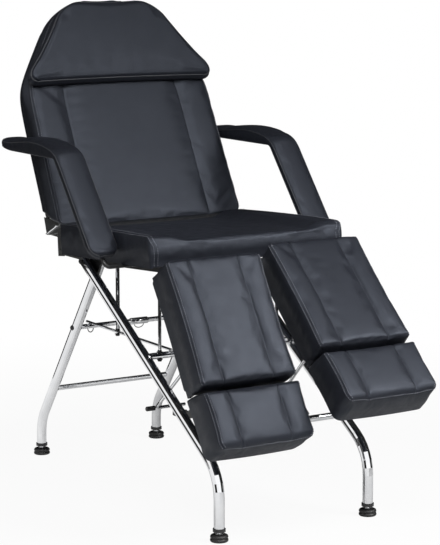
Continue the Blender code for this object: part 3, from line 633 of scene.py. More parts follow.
seat_creases = ((0.215, 0.440, 0.165, 0.487, 0.006, 0.0016), (0.262, 0.452, 0.232, 0.490, 0.005, 0.0012),
                (-0.205, 0.440, -0.160, 0.486, 0.006, 0.0014), (-0.262, 0.462, -0.225, 0.494, 0.006, 0.0016),
                (0.120, 0.120, -0.060, 0.150, 0.010, 0.0012), (-0.150, 0.200, -0.040, 0.225, 0.010, 0.0010))
seat_across = edge_columns(seat_half_width, seat_edge, seat_seam)
seat_shares = both_ways(fill([0.0, trough_floor, trough_rim] + seat_across, 0.0085), seat_half_width)
seat_rows = fill([0.0, 0.0012, 0.004, 0.008, 0.012, seat_length - roll_side], 0.0095)
seat_rows += [seat_length - roll_side * (1 - math.sin(math.radians(turn))) for turn in range(9, 90, 9)]
seat_rows += [seat_length]


def seat_skirt(across, along):
    """The cover wraps the board, and hangs lower at the sides than over the leg hinges."""
    return 0.0135 + 0.0035 * ease(abs(across), 0.288, 0.293)


seat_pad = make_pad("seat_cover", seat_rows, seat_shares, seat_half, seat_top,
                    laid(seat_place, 0, 0, seat_lift), even(0.0020), tuck=0.001, skirt=seat_skirt)
print("seat grid", len(seat_rows), "by", len(seat_shares))

# %% [markdown]
# ## The back
# The back widens from the head end to the shoulders and has two sewn channels that part a
# wide middle panel from two side bolsters. Each bolster puffs up and then dives into its
# channel, while the middle panel starts with a crisp fold: that step is what catches the
# light. Near the lower corners the cover gathers in a few short folds.

# %% Back pad
back_start = 0.0186
back_length = 0.672
back_half_width = 0.297
back_face = 0.0249
back_height = 0.062
back_edge = 0.012
back_corner = 0.020
back_low_edge = 0.005
back_slant = 0.045
back_lean = -0.0085
back_lean_reach = 0.090
back_skirt = 0.0156
head_start = 0.437
head_taper = 0.673
head_blend = 0.030
head_corner = 0.085
back_channel = 0.190
back_seam = 0.0034


def head_half(along):
    straight = back_half_width - 0.003 * math.sin(math.pi * along / back_length)
    sloped = back_half_width - head_taper * (along - head_start + back_start)
    gap = straight - sloped
    return (straight + sloped - math.sqrt(gap * gap + head_blend * head_blend)) / 2 + 0.0007


def back_half(along):
    return head_half(along) - round_over(along, back_corner) - round_over(back_length - along, head_corner)


def channelled(across, channel, dive, depth, drop):
    """Height over a panel that meets a puffed bolster in a sewn channel."""
    off = abs(across) - channel
    if off >= 0:
        fall = max(1 - off / dive, 0.0)
        return -depth * (1 - math.sqrt(max(1 - fall * fall, 0.0)))
    rise = min(-off / 0.006, 1.0)
    return -depth + (depth - drop) * math.sin(rise * math.pi / 2)


def back_top(across, along):
    inset = back_half(along) - abs(across)
    ends = min(along, back_length - along)
    rolled = round_over(along, back_low_edge) + round_over(back_length - along, back_edge)
    lost = soft_max(round_over(inset, back_edge), rolled)
    channel = back_channel * head_half(along) / back_half_width
    share = across / head_half(along)
    step = channelled(across, channel, 0.030, 0.0062, 0.0022)
    puff = 0.002 * (1 - share * share)
    ripple = sum(crease(across, along, line) for line in back_creases)
    sewn = seam_depth * dip_at(min(inset, ends), back_seam, 0.0018)
    return back_height + puff + step - lost - ripple - sewn


back_creases = ((-0.292, 0.040, -0.205, 0.030, 0.005, 0.0030), (-0.290, 0.060, -0.215, 0.055, 0.006, 0.0028),
                (-0.288, 0.024, -0.200, 0.016, 0.004, 0.0022), (-0.286, 0.082, -0.235, 0.083, 0.006, 0.0016),
                (0.205, 0.020, 0.292, 0.075, 0.007, 0.0045), (0.230, 0.012, 0.295, 0.045, 0.006, 0.0030),
                (0.294, 0.110, 0.225, 0.095, 0.008, 0.0014))
back_across = edge_columns(back_half_width, back_edge, back_seam)
channel_marks = [-0.008, -0.005, -0.0025, -0.001, 0.0, 0.0012, 0.004, 0.010, 0.018, 0.030]
back_across = fill([0.0] + [back_channel + x for x in channel_marks] + back_across, 0.0095)
back_shares = both_ways(back_across, back_half_width)
head_rows = [back_length - head_corner * (1 - math.sin(math.radians(turn))) for turn in range(0, 90, 7)]
head_rows = [row for row in head_rows if row < back_length - 0.0135]
back_rows = fill(edge_marks(back_edge, back_seam) + head_rows, 0.0085)
back_rows = fill(back_rows + [back_length - x for x in edge_marks(back_edge, back_seam)[::-1]], 0.0085)


def back_bulge(along):
    """The sides swell, but less where the armrests stand close beside them."""
    beside_arms = ease(along, 0.14, 0.19) * (1 - ease(along, 0.33, 0.38))
    return 0.006 - 0.003 * beside_arms + 0.007 * dip_at(along, 0.410, 0.050)


def slant_at(across):
    """The lower end is cut back beside the hinges, at both sides."""
    return back_slant * ease(abs(across), 0.255, 0.287)


back_pad = make_pad("back_cover", back_rows, back_shares, back_half, back_top,
                    leaned(laid(back_place, 0, back_start, back_face - back_height), back_height,
                           back_lean, slant_at, back_lean_reach),
                    back_bulge, tuck=0.0, draw=(0.0, 0.003), skirt=lambda across, along: back_skirt)
print("back grid", len(back_rows), "by", len(back_shares))

# %% [markdown]
# ## The pillow
# A wedge-shaped pillow covers the head end. Its face is one tight panel with a piped edge,
# and a boxed strip below it makes the dark line over the back.

# %% Pillow
pillow_start = 0.4245
pillow_length = 0.237
pillow_bottom_half = 0.312
pillow_taper = 0.715
pillow_lower_corner = 0.045
pillow_upper_corner = 0.052
pillow_height = 0.038
pillow_wedge = 0.016
pillow_waist = 0.005
pillow_edge = 0.010
pillow_seam = 0.0029
pillow_lift = 0.001
pillow_lean = 0.008
pillow_lean_reach = 0.080


def pillow_half(along):
    lower = round_over(along, pillow_lower_corner)
    upper = round_over(pillow_length - along, pillow_upper_corner)
    waist = pillow_waist * math.sin(math.pi * along / pillow_length) ** 2
    return pillow_bottom_half - pillow_taper * along - lower - upper - waist


def pillow_top(across, along):
    inset = pillow_half(along) - abs(across)
    ends = min(along, pillow_length - along)
    lost = soft_max(round_over(inset, pillow_edge), round_over(ends, pillow_edge))
    share = across / pillow_bottom_half
    ripple = sum(crease(across, along, line) for line in pillow_creases)
    sewn = 0.0016 * dip_at(min(inset, ends), 0.0085, 0.0022)
    crown = 0.004 * (1 - share * share) * math.sin(math.pi * along / pillow_length)
    return pillow_height + pillow_wedge * along / pillow_length + crown - lost - ripple - sewn - 0.002


pillow_creases = ((-0.26, 0.020, -0.20, 0.045, 0.006, 0.0012), (0.27, 0.018, 0.20, 0.040, 0.007, 0.0014),
                  (0.05, 0.010, 0.02, 0.030, 0.006, 0.0008))
pillow_across = fill([0.0] + edge_columns(pillow_bottom_half, pillow_edge, pillow_seam), 0.0105)
pillow_shares = both_ways(pillow_across, pillow_bottom_half)
corner_rows = [pillow_lower_corner * (1 - math.cos(math.radians(turn))) for turn in range(0, 90, 8)]
upper_rows = [pillow_length - pillow_upper_corner * (1 - math.cos(math.radians(turn)))
              for turn in range(88, 0, -8)]
pillow_rows = fill(corner_rows + upper_rows + [pillow_length], 0.0085)
pillow_pad = make_pad("pillow_cover", pillow_rows, pillow_shares, pillow_half, pillow_top,
                      leaned(laid(back_place, 0, pillow_start, back_face + pillow_lift), pillow_height,
                             pillow_lean, even(0.0), pillow_lean_reach), even(0.006))
print("pillow grid", len(pillow_rows), "by", len(pillow_shares))

# %% [markdown]
# ## The leg rests
# Each leg rest is two pads: a long one for the calf and a short one for the foot. Both have
# two stepped channels and a twin-needle seam along the edge of the front face.

# %% Leg pads
leg_half_width = 0.142
leg_edge = 0.0125
leg_seam = 0.0037
leg_channel = 0.074
pad_span = {"calf": (0.010, 0.335, 0.0263, 0.0657), "foot": (0.362, 0.152, -0.0030, 0.0950)}
pad_corners = {"calf": (0.012, 0.012), "foot": (0.005, 0.024)}
end_edge = {"calf": 0.0125, "foot": 0.020}
calf_end = pad_span["calf"][1]
calf_skirt_drop = 0.0290


def leg_half_of(length, upper_corner, lower_corner):
    def half(along):
        upper = round_over(along, upper_corner)
        lower = round_over(length - along, lower_corner)
        return leg_half_width - upper - lower - 0.003 * math.sin(math.pi * along / length)
    return half


def leg_top_of(length, height, half_width, creases, end_radius):
    def top(across, along):
        inset = half_width(along) - abs(across)
        ends = min(along, length - along)
        rolled = round_over(along, leg_edge) + round_over(length - along, end_radius)
        lost = soft_max(round_over(inset, leg_edge), rolled)
        step = channelled(across, leg_channel, 0.026, 0.0085, 0.0030)
        puff = 0.0015 * math.sin(math.pi * along / length)
        ripple = sum(crease(across, along, line) for line in creases)
        sewn = seam_depth * dip_at(min(inset, ends), leg_seam, 0.0018)
        return height + puff + step - lost - ripple - sewn
    return top


leg_across = edge_columns(leg_half_width, leg_edge, leg_seam)
leg_across = fill([0.0] + [leg_channel + x for x in channel_marks] + leg_across, 0.008)
leg_shares = both_ways(leg_across, leg_half_width)
leg_creases = {"calf": ((0.055, 0.060, -0.010, 0.072, 0.006, 0.0009),
                        (0.040, 0.092, 0.000, 0.100, 0.006, 0.0008),
                        (-0.020, 0.300, 0.050, 0.318, 0.007, 0.0010)),
               "foot": ((0.060, 0.018, 0.010, 0.030, 0.006, 0.0010),
                        (-0.050, 0.120, 0.010, 0.132, 0.006, 0.0010))}


def calf_skirt(across, along):
    """Only along the sides: the slide of the foot rest comes out at the end."""
    return calf_skirt_drop * ease(along, 0.008, 0.012) * ease(calf_end - along, 0.010, 0.016)


leg_lean = {"calf": (-0.005, even(0.0)), "foot": (0.0, even(-0.0150))}
leg_skirt = {"calf": calf_skirt, "foot": None}
leg_draw = {"calf": (-0.005, 0.001), "foot": (0.0, -0.002)}
leg_pads = {}
for part, (start, length, lift, height) in pad_span.items():
    far_edge = edge_marks(end_edge[part], leg_seam)
    leg_rows = fill(edge_marks(leg_edge, leg_seam) + [length - x for x in far_edge[::-1]], 0.0085)
    half = leg_half_of(length, *pad_corners[part])
    top = leg_top_of(length, height, half, leg_creases[part], end_edge[part])
    for side, way in sides:
        leg_pads[part, side] = make_pad(f"{part}_cover_{side}", leg_rows, leg_shares, half, top,
                                        leaned(laid(leg_place[side], 0, start, lift), height, *leg_lean[part]),
                                        even(0.0015), tuck=0.0004,
                                        draw=leg_draw[part], skirt=leg_skirt[part])
print("leg pads", sorted(leg_pads))

# %% [markdown]
# ## The tongues of the foot rests
# A flat steel tongue on each foot rest slides in the tray of the calf rest. Its end lies
# inside the foot cover, so only the tongue is drawn: a plate with rounded corners, a
# finger slot and softened edges.


# %% Tongues
def rounded_outline(half_wide, start, end, radius, steps=5):
    corners = ((half_wide - radius, start + radius, -90), (half_wide - radius, end - radius, 0),
               (radius - half_wide, end - radius, 90), (radius - half_wide, start + radius, 180))
    outline = []
    for x, y, first in corners:
        for step in range(steps + 1):
            turn = math.radians(first + 90 * step / steps)
            outline.append((x + radius * math.cos(turn), y + radius * math.sin(turn)))
    return outline


def add_plate(name, outline, low, high, place, finish, soften=0.0006, slot=None):
    """A flat plate from an outline, with an optional slot through it and softened edges."""
    shape = bmesh.new()
    edges = []
    for line in [outline] + ([slot] if slot else []):
        ring = [shape.verts.new((x, y, low)) for x, y in line]
        edges += [shape.edges.new((near, far)) for near, far in zip(ring, ring[1:] + ring[:1])]
    bmesh.ops.triangle_fill(shape, edges=edges, use_beauty=True)
    bmesh.ops.dissolve_limit(shape, angle_limit=0.01, verts=shape.verts, edges=shape.edges)
    grown = bmesh.ops.extrude_face_region(shape, geom=list(shape.faces), use_keep_orig=True)["geom"]
    moved = [item for item in grown if isinstance(item, bmesh.types.BMVert)]
    bmesh.ops.translate(shape, verts=moved, vec=(0, 0, high - low))
    bmesh.ops.recalc_face_normals(shape, faces=shape.faces)
    bmesh.ops.transform(shape, matrix=place, verts=shape.verts)
    plate = mesh_object(name, shape, finish, smooth=False)
    edge = plate.modifiers.new("soft_edges", "BEVEL")
    edge.width = soften
    edge.segments = 2
    edge.limit_method = "ANGLE"
    return plate


tongue_line = rounded_outline(0.0515, 0.200, 0.372, 0.006)
tongue_slot = rounded_outline(0.011, 0.222, 0.330, 0.0109)
tongue_low, tongue_high = 0.0065, 0.0160
for side, way in sides:
    tongue = add_plate(f"foot_tongue_{side}", tongue_line, tongue_low, tongue_high,
                       leg_place[side], powder_coat, slot=tongue_slot)
    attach(tongue, f"foot_rest_{side}")
    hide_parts(f"foot_slide_{side}")
print("tongues made")

# %% [markdown]
# ## The board of the back and the hinge fittings
# The back's lower end is cut back beside the hinges, so its board is drawn again with the
# same cut. Under it the photograph shows bright fittings at each side: a three-cornered
# plate on the back, a short rod along that plate, and an upright strip on the seat. The
# plate and the strip are cut from sheet, so each is an outline with a thickness.

# %% Board and hinge fittings
board_steps = 26
board_thickness = 0.0148
fitting_edge = 0.0004
gusset_span = (0.2840, 0.2858)
strip_span = (0.2885, 0.2903)
rod_reach = 0.2882
board_half = back_half_width - 0.0070
board_line = []
for step in range(board_steps + 1):
    across = board_half * (2 * step / board_steps - 1)
    board_line.append((across, slant_at(across) * 1.25 + 0.0060))
for step in range(1, board_steps + 1):
    along = 0.0650 + (back_length - 0.0690) * step / board_steps
    board_line.append((back_half(along) - 0.0040, along))
board_line += [(-across, along) for across, along in board_line[:board_steps:-1]]
board_outline = [(across, back_start + along) for across, along in board_line]
board_front = back_face - back_height - 0.0003
board = add_plate("back_panel", board_outline, board_front - board_thickness, board_front, back_place, leather)
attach(board, "backrest")
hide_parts("back_board")

side_view = Matrix(((0, 0, 1, 0), (1, 0, 0, 0), (0, 1, 0, 0), (0, 0, 0, 1)))
gusset_line = [(0.396, 0.7356), (0.312, 0.7345), (0.300, 0.7247),
               (0.3129, 0.7010), (0.3553, 0.6904), (0.3795, 0.6875)]
strip_line = [(0.2543, 0.6495), (0.2665, 0.6425), (0.3027, 0.6382),
              (0.3062, 0.6900), (0.2990, 0.7150), (0.2800, 0.7150)]
rod_ends = (Vector((0.0, 0.3780, 0.6905)), Vector((0.0, 0.3130, 0.7215)))
for side, way in sides:
    low, high = sorted(way * x for x in gusset_span)
    gusset = add_plate(f"hinge_gusset_{side}", gusset_line, low, high, side_view, zinc, fitting_edge)
    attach(gusset, "backrest")
    low, high = sorted(way * x for x in strip_span)
    strip = add_plate(f"hinge_strip_{side}", strip_line, low, high, side_view, zinc, fitting_edge)
    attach(strip, "frame")
print("board and hinge fittings made")

# %% [markdown]
# ## The armrests
# An armrest is a padded strip, D-shaped in section, that runs level from beside the back
# and then bends down at the elbow to the side of the seat. A straight pad is laid along
# that bent line: level run, short curve, sloping run.

# %% Armrests
arm_width = 0.083
arm_middle = 0.3415
arm_elbow = Vector((0.0, 0.144035, 0.928051))
arm_reach = 0.340
arm_post = 0.316
arm_slope = math.radians(51.0)
arm_edge_height = 0.020
arm_crown = 0.005
arm_arch = 0.017
arm_bend = 0.010
arm_nose = 0.040
arm_nose_lift = 0.016
arm_lift_reach = 0.090
arm_nose_drop = 0.012
arm_drop_reach = 0.060
arm_end = 0.030
arm_length = arm_reach + arm_post
arm_down = Vector((0.0, -math.cos(arm_slope), -math.sin(arm_slope)))
arm_out = Vector((0.0, arm_down.z, -arm_down.y))
arm_tail = arm_elbow + Vector((0.0, arm_reach, 0.0))


def along_arm(across, along, up):
    """Lay a point of the straight pad along the bent line under the armrest."""
    past = along - arm_reach
    if past <= -arm_bend:
        lift = arm_nose_lift * max(1 - along / arm_lift_reach, 0.0) ** 2
        return arm_tail + Vector((across, -along, up + lift))
    if past >= arm_bend:
        return arm_elbow + arm_down * past + arm_out * up + Vector((across, 0, 0))
    part = (past + arm_bend) / (2 * arm_bend)
    before = arm_elbow + Vector((0.0, arm_bend, 0.0))
    after = arm_elbow + arm_down * arm_bend
    spot = before * (1 - part) ** 2 + arm_elbow * 2 * part * (1 - part) + after * part ** 2
    ahead = ((arm_elbow - before) * (1 - part) + (after - arm_elbow) * part).normalized()
    return spot + Vector((0.0, ahead.z, -ahead.y)) * up + Vector((across, 0, 0))


def arm_half(along):
    return arm_width / 2 - round_over(along, arm_nose) - round_over(arm_length - along, arm_end)


def arm_top(across, along):
    share = min(abs(across) / max(arm_half(along), 0.001), 1.0)
    ends = min(along, arm_length - along)
    lost = soft_max(round_over(arm_half(along) - abs(across), 0.005), round_over(ends, 0.010))
    arch = arm_arch * math.sin(math.pi * min(along / arm_reach, 1.0) ** 1.5)
    drop = arm_nose_drop * max(1 - along / arm_drop_reach, 0.0) ** 2
    pinch = 0.003 * dip_at(along, arm_reach, 0.012) * share ** 3
    return arm_edge_height + arch + arm_crown * (1 - share * share) - lost - pinch - drop


arm_shares = [math.sin(math.radians(turn)) for turn in range(-90, 91, 10)]
nose_rows = [arm_nose * (1 - math.cos(math.radians(turn))) for turn in range(0, 90, 10)]
elbow_rows = [arm_reach + arm_bend * step / 6 for step in range(-6, 7)]
end_rows = [arm_length - arm_end * (1 - math.cos(math.radians(turn))) for turn in range(80, -1, -10)]
arm_rows = fill(nose_rows + elbow_rows + end_rows, 0.010)
arm_pads = {}
for side, way in sides:
    def arm_spot(across, along, up, shift=way * arm_middle):
        return along_arm(across, along, up) + Vector((shift, 0.0, 0.0))
    arm_pads[side] = make_pad(f"armrest_cover_{side}", arm_rows, arm_shares, arm_half, arm_top, arm_spot,
                              even(0.0012), tuck=0.0008, draw=(0.0, 0.0))
print("armrest grid", len(arm_rows), "by", len(arm_shares))

# %% [markdown]
# ## Filling all nine pads
# The seams that stay down are named here, pad by pad, before the one cloth run. The pillow
# and the armrests are tight, firm pads, so they may swell less than the others.


# %% Stuff the pads
firm_swell = 0.0015
soft_swell = 0.0035


def nearest(places, value):
    return min(range(len(places)), key=lambda step: abs(places[step] - value))


def near_columns(shares, half, spots):
    return [nearest(shares, way * spot / half) for spot in spots for way in (-1, 1)]


pin(seat_pad)
pin(back_pad, columns=near_columns(back_shares, back_half_width, (back_channel,)))
pin(pillow_pad)
for pad in leg_pads.values():
    pin(pad, columns=near_columns(leg_shares, leg_half_width, (leg_channel,)))
for pad in arm_pads.values():
    pin(pad)
stuff(lambda name: firm_swell if name.startswith(("armrest", "pillow")) else soft_swell)
print("pads pinned", len(pads))

# %% [markdown]
# ## Hang the pads on the chair
# Each cover stands for one CAD pad, which it hides, rides on that pad's body and wears the leather.
# One step of subdivision smooths what the ruled sheet left faceted.

# %% Hang the pads
covers = [(seat_pad, "seat_cushion", "frame"), (back_pad, "back_cushion", "backrest"),
          (pillow_pad, "pillow", "backrest")]
for side, way in sides:
    covers.append((arm_pads[side], f"armrest_{side}", "frame"))
    covers.append((leg_pads["calf", side], f"calf_cushion_{side}", f"leg_rest_{side}"))
    covers.append((leg_pads["foot", side], f"foot_cushion_{side}", f"foot_rest_{side}"))
for pad, node, body in covers:
    thing = pad["object"]
    smooth = thing.modifiers.new("smooth", "SUBSURF")
    smooth.levels = 1
    smooth.render_levels = 1
    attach(thing, body)
    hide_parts(node)
print("covers", len(covers))

# %% [markdown]
# ## Seams
# The seams of the leg rests, the seat and the back are sewn with two rows of stitches, one
# on each side of the join. A painted line would lie flat, so every stitch is a short thread
# of its own: it is laid on the finished cover, after the stuffing, where the nearest point
# of the skin gives its place and its tilt.


# %% Stitches
def along_path(spots, pitch):
    """Even steps along a line of points, each with the direction there."""
    steps = []
    left = pitch / 2
    for near, far in zip(spots, spots[1:]):
        span = (far - near).length
        if span < 1e-6:
            continue
        way = (far - near) / span
        while left <= span:
            steps.append((near + way * left, way))
            left += pitch
        left -= span
    return steps


def side_seams(pad, step=3):
    """The two seams along a pad's sides, each as a line of points that turn the same way round."""
    grid = pad["grid"]
    spots = pad["object"].data.vertices
    left = [spots[line[step]].co.copy() for line in grid[step:-step]]
    right = [spots[line[-step - 1]].co.copy() for line in grid[step:-step]]
    return left[::-1], right


def end_seam(pad, step=3):
    """The seam along the far end of a pad's face."""
    spots = pad["object"].data.vertices
    return [spots[spot].co.copy() for spot in pad["grid"][-step - 1][len(pad["shares"]) - step:step:-1]]


def add_thread(shape, place, way, out, length, radius):
    """One stitch: a short rod with pointed ends, half sunk in the leather."""
    way = (way - out * way.dot(out)).normalized()
    beside = out.cross(way)
    rings = []
    for share in (-0.34, 0.34):
        ring = []
        for turn in range(5):
            angle = math.radians(18 + 72 * turn)
            ring.append(shape.verts.new(place + way * (share * length) + beside * (radius * math.cos(angle))
                                        + out * (radius * math.sin(angle))))
        rings.append(ring)
    tips = [shape.verts.new(place + way * (share * length) - out * radius * 0.6) for share in (-0.5, 0.5)]
    for turn in range(5):
        ahead = (turn + 1) % 5
        shape.faces.new((rings[0][turn], rings[0][ahead], rings[1][ahead], rings[1][turn]))
        shape.faces.new((tips[0], rings[0][ahead], rings[0][turn]))
        shape.faces.new((tips[1], rings[1][turn], rings[1][ahead]))


def keep(name, shape, finish, body):
    """Turn a built shape into a smooth object that rides on a body."""
    bmesh.ops.recalc_face_normals(shape, faces=shape.faces)
    thing = mesh_object(name, shape, finish)
    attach(thing, body)
    return thing


stitch_radius = 0.00075


def sew(name, pad, lines, body, apart=(-0.0035, 0.0045), pitch=0.0062):
    skin = BVHTree.FromObject(pad["object"], bpy.context.evaluated_depsgraph_get())
    shape = bmesh.new()
    for line in lines:
        for spot, way in along_path(line, pitch):
            near, normal, face, gap = skin.find_nearest(spot)
            beside = normal.cross(way).normalized()
            for shift in apart:
                place, out, face, gap = skin.find_nearest(near + beside * shift)
                add_thread(shape, place, way, out, pitch * 0.70, stitch_radius)
    keep(name, shape, thread, body)


for side, way in sides:
    calf, foot = leg_pads["calf", side], leg_pads["foot", side]
    sew(f"calf_stitches_{side}", calf, side_seams(calf), f"leg_rest_{side}")
    sew(f"foot_stitches_{side}", foot, side_seams(foot), f"foot_rest_{side}")
    sew(f"foot_end_stitches_{side}", foot, [end_seam(foot)], f"foot_rest_{side}", apart=(-0.002,))
sew("back_stitches", back_pad, side_seams(back_pad), "backrest")
seat_lines = []
seat_spots = seat_pad["object"].data.vertices
for column in (3, len(seat_shares) - 4):
    order = [line[column] for line in seat_pad["grid"]]
    corner = seat_pad["rim"].index((len(seat_rows) - 1, column))
    order += [ring[corner] for ring in seat_pad["rings"][1:wall_rings + 2]]
    seat_lines.append([seat_spots[spot].co.copy() for spot in order])
sew("seat_stitches", seat_pad, seat_lines[:1], "frame", apart=(-0.001, 0.010))
sew("seat_stitches_right", seat_pad, seat_lines[1:], "frame", apart=(0.001, -0.010))
print("seams sewn")

# %% [markdown]
# ## Piping
# A thin cord wrapped in the same vinyl is sewn into the edges of the pillow and of the
# armrests. Each one is a round tube swept along the rim of the finished cover.


# %% Piping
hoop_parts = 8


def add_hoop(shape, spot, out, beside, radius):
    """A ring of points round a spot, in the plane of two directions."""
    turns = [math.tau * part / hoop_parts for part in range(hoop_parts)]
    return [shape.verts.new(spot + (out * math.cos(turn) + beside * math.sin(turn)) * radius) for turn in turns]


def join_hoops(shape, hoops, following_hoops):
    """Skin each ring to the one that follows it."""
    for hoop, following in zip(hoops, following_hoops):
        for part in range(hoop_parts):
            ahead = (part + 1) % hoop_parts
            shape.faces.new((hoop[part], hoop[ahead], following[ahead], following[part]))


def pipe(name, pad, rings, radius, body):
    skin = BVHTree.FromObject(pad["object"], bpy.context.evaluated_depsgraph_get())
    spots = pad["object"].data.vertices
    shape = bmesh.new()
    for ring in rings:
        line = [spots[spot].co.copy() for spot in ring]
        steps = along_path(line + line[:1], 0.005)
        hoops = []
        places = [spot for spot, way in steps]
        for before, spot, after in zip(places[-1:] + places[:-1], places, places[1:] + places[:1]):
            near, normal, face, gap = skin.find_nearest(spot)
            run = (after - before).normalized()
            out = (normal - run * normal.dot(run)).normalized()
            hoops.append(add_hoop(shape, near, out, run.cross(out), radius))
        join_hoops(shape, hoops, hoops[1:] + hoops[:1])
    keep(name, shape, piping, body)


pipe("pillow_piping", pillow_pad, (pillow_pad["rings"][0], pillow_pad["rings"][-1]), 0.0019, "backrest")
for side, way in sides:
    pipe(f"armrest_piping_{side}", arm_pads[side], (arm_pads[side]["rings"][0], arm_pads[side]["rings"][-1]),
         0.0013, "frame")
print("piping laid")

# %% [markdown]
# ## Feet
# A levelling foot is a turned piece: a hard rubber puck with a rounded flange, a groove and
# a domed shoulder, and a steel stem with a nut that locks it. Each part is a profile turned
# round the stem, which gives the rims their round highlights.


# %% Turned pieces
def turned(shape, profile, place, sides_round=40):
    """Turn a closed profile of (radius, height) round the Z axis of a place."""
    hoops = []
    for radius, height in profile:
        if radius < 1e-6:
            hoops.append([shape.verts.new(place @ Vector((0, 0, height)))])
        else:
            turns = [math.tau * step / sides_round for step in range(sides_round)]
            spots = [Vector((radius * math.cos(turn), radius * math.sin(turn), height)) for turn in turns]
            hoops.append([shape.verts.new(place @ spot) for spot in spots])
    for low, high in zip(hoops, hoops[1:]):
        for step in range(sides_round):
            ahead = (step + 1) % sides_round
            corners = [low[step % len(low)], low[ahead % len(low)],
                       high[ahead % len(high)], high[step % len(high)]]
            shape.faces.new(list(dict.fromkeys(corners)))


def node_box(name):
    """Smallest and largest corner of a CAD node, in the part frame."""
    thing = nodes[name]
    spots = [thing.matrix_world @ Vector(corner) for corner in thing.bound_box]
    return [Vector([pick(spot[axis] for spot in spots) for axis in range(3)]) for pick in (min, max)]


def hex_head(shape, place, across_flats, height):
    """A washer and a six-sided head with a softened crown."""
    washer = ((0, 0), (0.72, 0), (0.76, 0.0003), (0.76, 0.0010), (0.70, 0.0013), (0, 0.0013))
    turned(shape, [(across_flats * share, level) for share, level in washer], place, 24)
    corner = across_flats / math.sqrt(3)
    levels = ((0.98, 0.0012), (1.0, 0.0017), (1.0, height - 0.0009), (0.95, height - 0.0003), (0.80, height))
    crown = [(corner * share, level) for share, level in levels]
    turned(shape, [(0, 0.0012)] + crown + [(0, height)], place, 6)


puck_profile = ((0, 0), (0.0190, 0), (0.0215, 0.0006), (0.0232, 0.0022), (0.0237, 0.0045),
                (0.0232, 0.0070), (0.0219, 0.0084), (0.0210, 0.0092), (0.0212, 0.0101),
                (0.0226, 0.0110), (0.0233, 0.0127), (0.0230, 0.0150), (0.0215, 0.0172),
                (0.0185, 0.0188), (0.0130, 0.0198), (0.0062, 0.0202), (0, 0.0202))
stem_profile = ((0, 0.0195), (0.0064, 0.0195), (0.0066, 0.0204), (0.0060, 0.0212),
                (0.0060, 0.0300), (0, 0.0300))
for end in ("front", "rear"):
    for side, way in sides:
        low, high = node_box(f"{end}_foot_{side}")
        place = Matrix.Translation(((low.x + high.x) / 2, (low.y + high.y) / 2, low.z))
        shape = bmesh.new()
        turned(shape, puck_profile, place)
        puck = keep(f"{end}_puck_{side}", shape, rubber, f"level_foot_{end}_{side}")
        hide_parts(f"{end}_foot_{side}")
        shape = bmesh.new()
        turned(shape, stem_profile, place, 24)
        hex_head(shape, place @ Matrix.Translation((0, 0, 0.0203)), 0.0130, 0.0042)
        keep(f"{end}_stem_{side}", shape, chrome, f"level_foot_{end}_{side}")
print("feet turned")

# %% [markdown]
# ## Hinge rods
# The bright rod along each hinge plate is a short turned piece too, with rounded ends. It
# is made here, where the turning helper exists, and swings with the back.

# %% Hinge rods
rod_run = rod_ends[1] - rod_ends[0]
rod_span = rod_run.length
rod_turn = rod_run.to_track_quat("Z", "X").to_matrix().to_4x4()
rod_profile = ((0, 0), (0.0016, 0), (0.0022, 0.0006), (0.0022, rod_span - 0.0006),
               (0.0016, rod_span), (0, rod_span))
for side, way in sides:
    shape = bmesh.new()
    place = Matrix.Translation(rod_ends[0] + Vector((way * rod_reach, 0, 0))) @ rod_turn
    turned(shape, rod_profile, place, 16)
    keep(f"hinge_rod_{side}", shape, chrome, "backrest")
print("hinge rods made")

# %% [markdown]
# ## Bolts
# The rear upper bar is bolted through the legs: a black domed head with a washer sits on
# the outside of each leg. The two strut frames end in nuts, above and below the rods that
# carry them.

# %% Bolts
dome_profile = ((0, 0), (0.0074, 0), (0.0078, 0.0004), (0.0078, 0.0010), (0.0066, 0.0013),
                (0.0064, 0.0022), (0.0056, 0.0038), (0.0042, 0.0049), (0.0024, 0.0055),
                (0.0022, 0.0040), (0, 0.0040))
nut_flats = 0.011
nut_height = 0.0060
nut_drop = {"rear_strut_frame": 0.0090, "front_strut_frame": 0.0190}
bar_low, bar_high = node_box("rear_upper_bar")
bar_spot = (bar_low + bar_high) / 2
bar_radius = (bar_high.z - bar_low.z) / 2
bolts = bmesh.new()
for side, way in sides:
    leg_low, leg_high = node_box(f"rear_leg_{side}")
    outer = leg_high.x if way > 0 else leg_low.x
    place = Matrix.Translation((outer - way * 0.0006, bar_spot.y, bar_spot.z))
    turned(bolts, dome_profile, place @ Matrix.Rotation(math.radians(90 * way), 4, "Y"), 24)
keep("bar_bolts", bolts, powder_coat, "frame")
nuts = bmesh.new()
for strut, drop in nut_drop.items():
    low, high = node_box(strut)
    for x in (low.x + 0.004, high.x - 0.004):
        spot = Vector((x, (low.y + high.y) / 2, low.z))
        hex_head(nuts, Matrix.Translation(spot), nut_flats, nut_height)
        below = Matrix.Translation(spot - Vector((0, 0, drop)))
        hex_head(nuts, below @ Matrix.Rotation(math.pi, 4, "X"), nut_flats, nut_height)
keep("strut_nuts", nuts, powder_coat, "frame")
print("bolts and nuts made")

# %% [markdown]
# ## Small pieces on the rear bar
# A short sleeve is clamped on the rear upper bar near its middle, with a wire loop below
# it, and a smaller loop hangs near the left leg. What they held can't be seen in the
# photograph; they are small bright details there.


# %% Sleeve and loops
def wire_loop(shape, spot, half_span, drop, radius, steps=14):
    """A half round of wire that hangs below a spot."""
    points = []
    for step in range(steps + 1):
        turn = math.pi * step / steps
        points.append(spot + Vector((-half_span * math.cos(turn), 0.0, -drop * math.sin(turn))))
    hoops = []
    for step, point in enumerate(points):
        ahead = (points[min(step + 1, steps)] - points[max(step - 1, 0)]).normalized()
        beside = Vector((0, 1, 0))
        out = ahead.cross(beside)
        hoops.append(add_hoop(shape, point, out, beside, radius))
    join_hoops(shape, hoops, hoops[1:])
    shape.faces.new(hoops[0][::-1])
    shape.faces.new(hoops[-1])


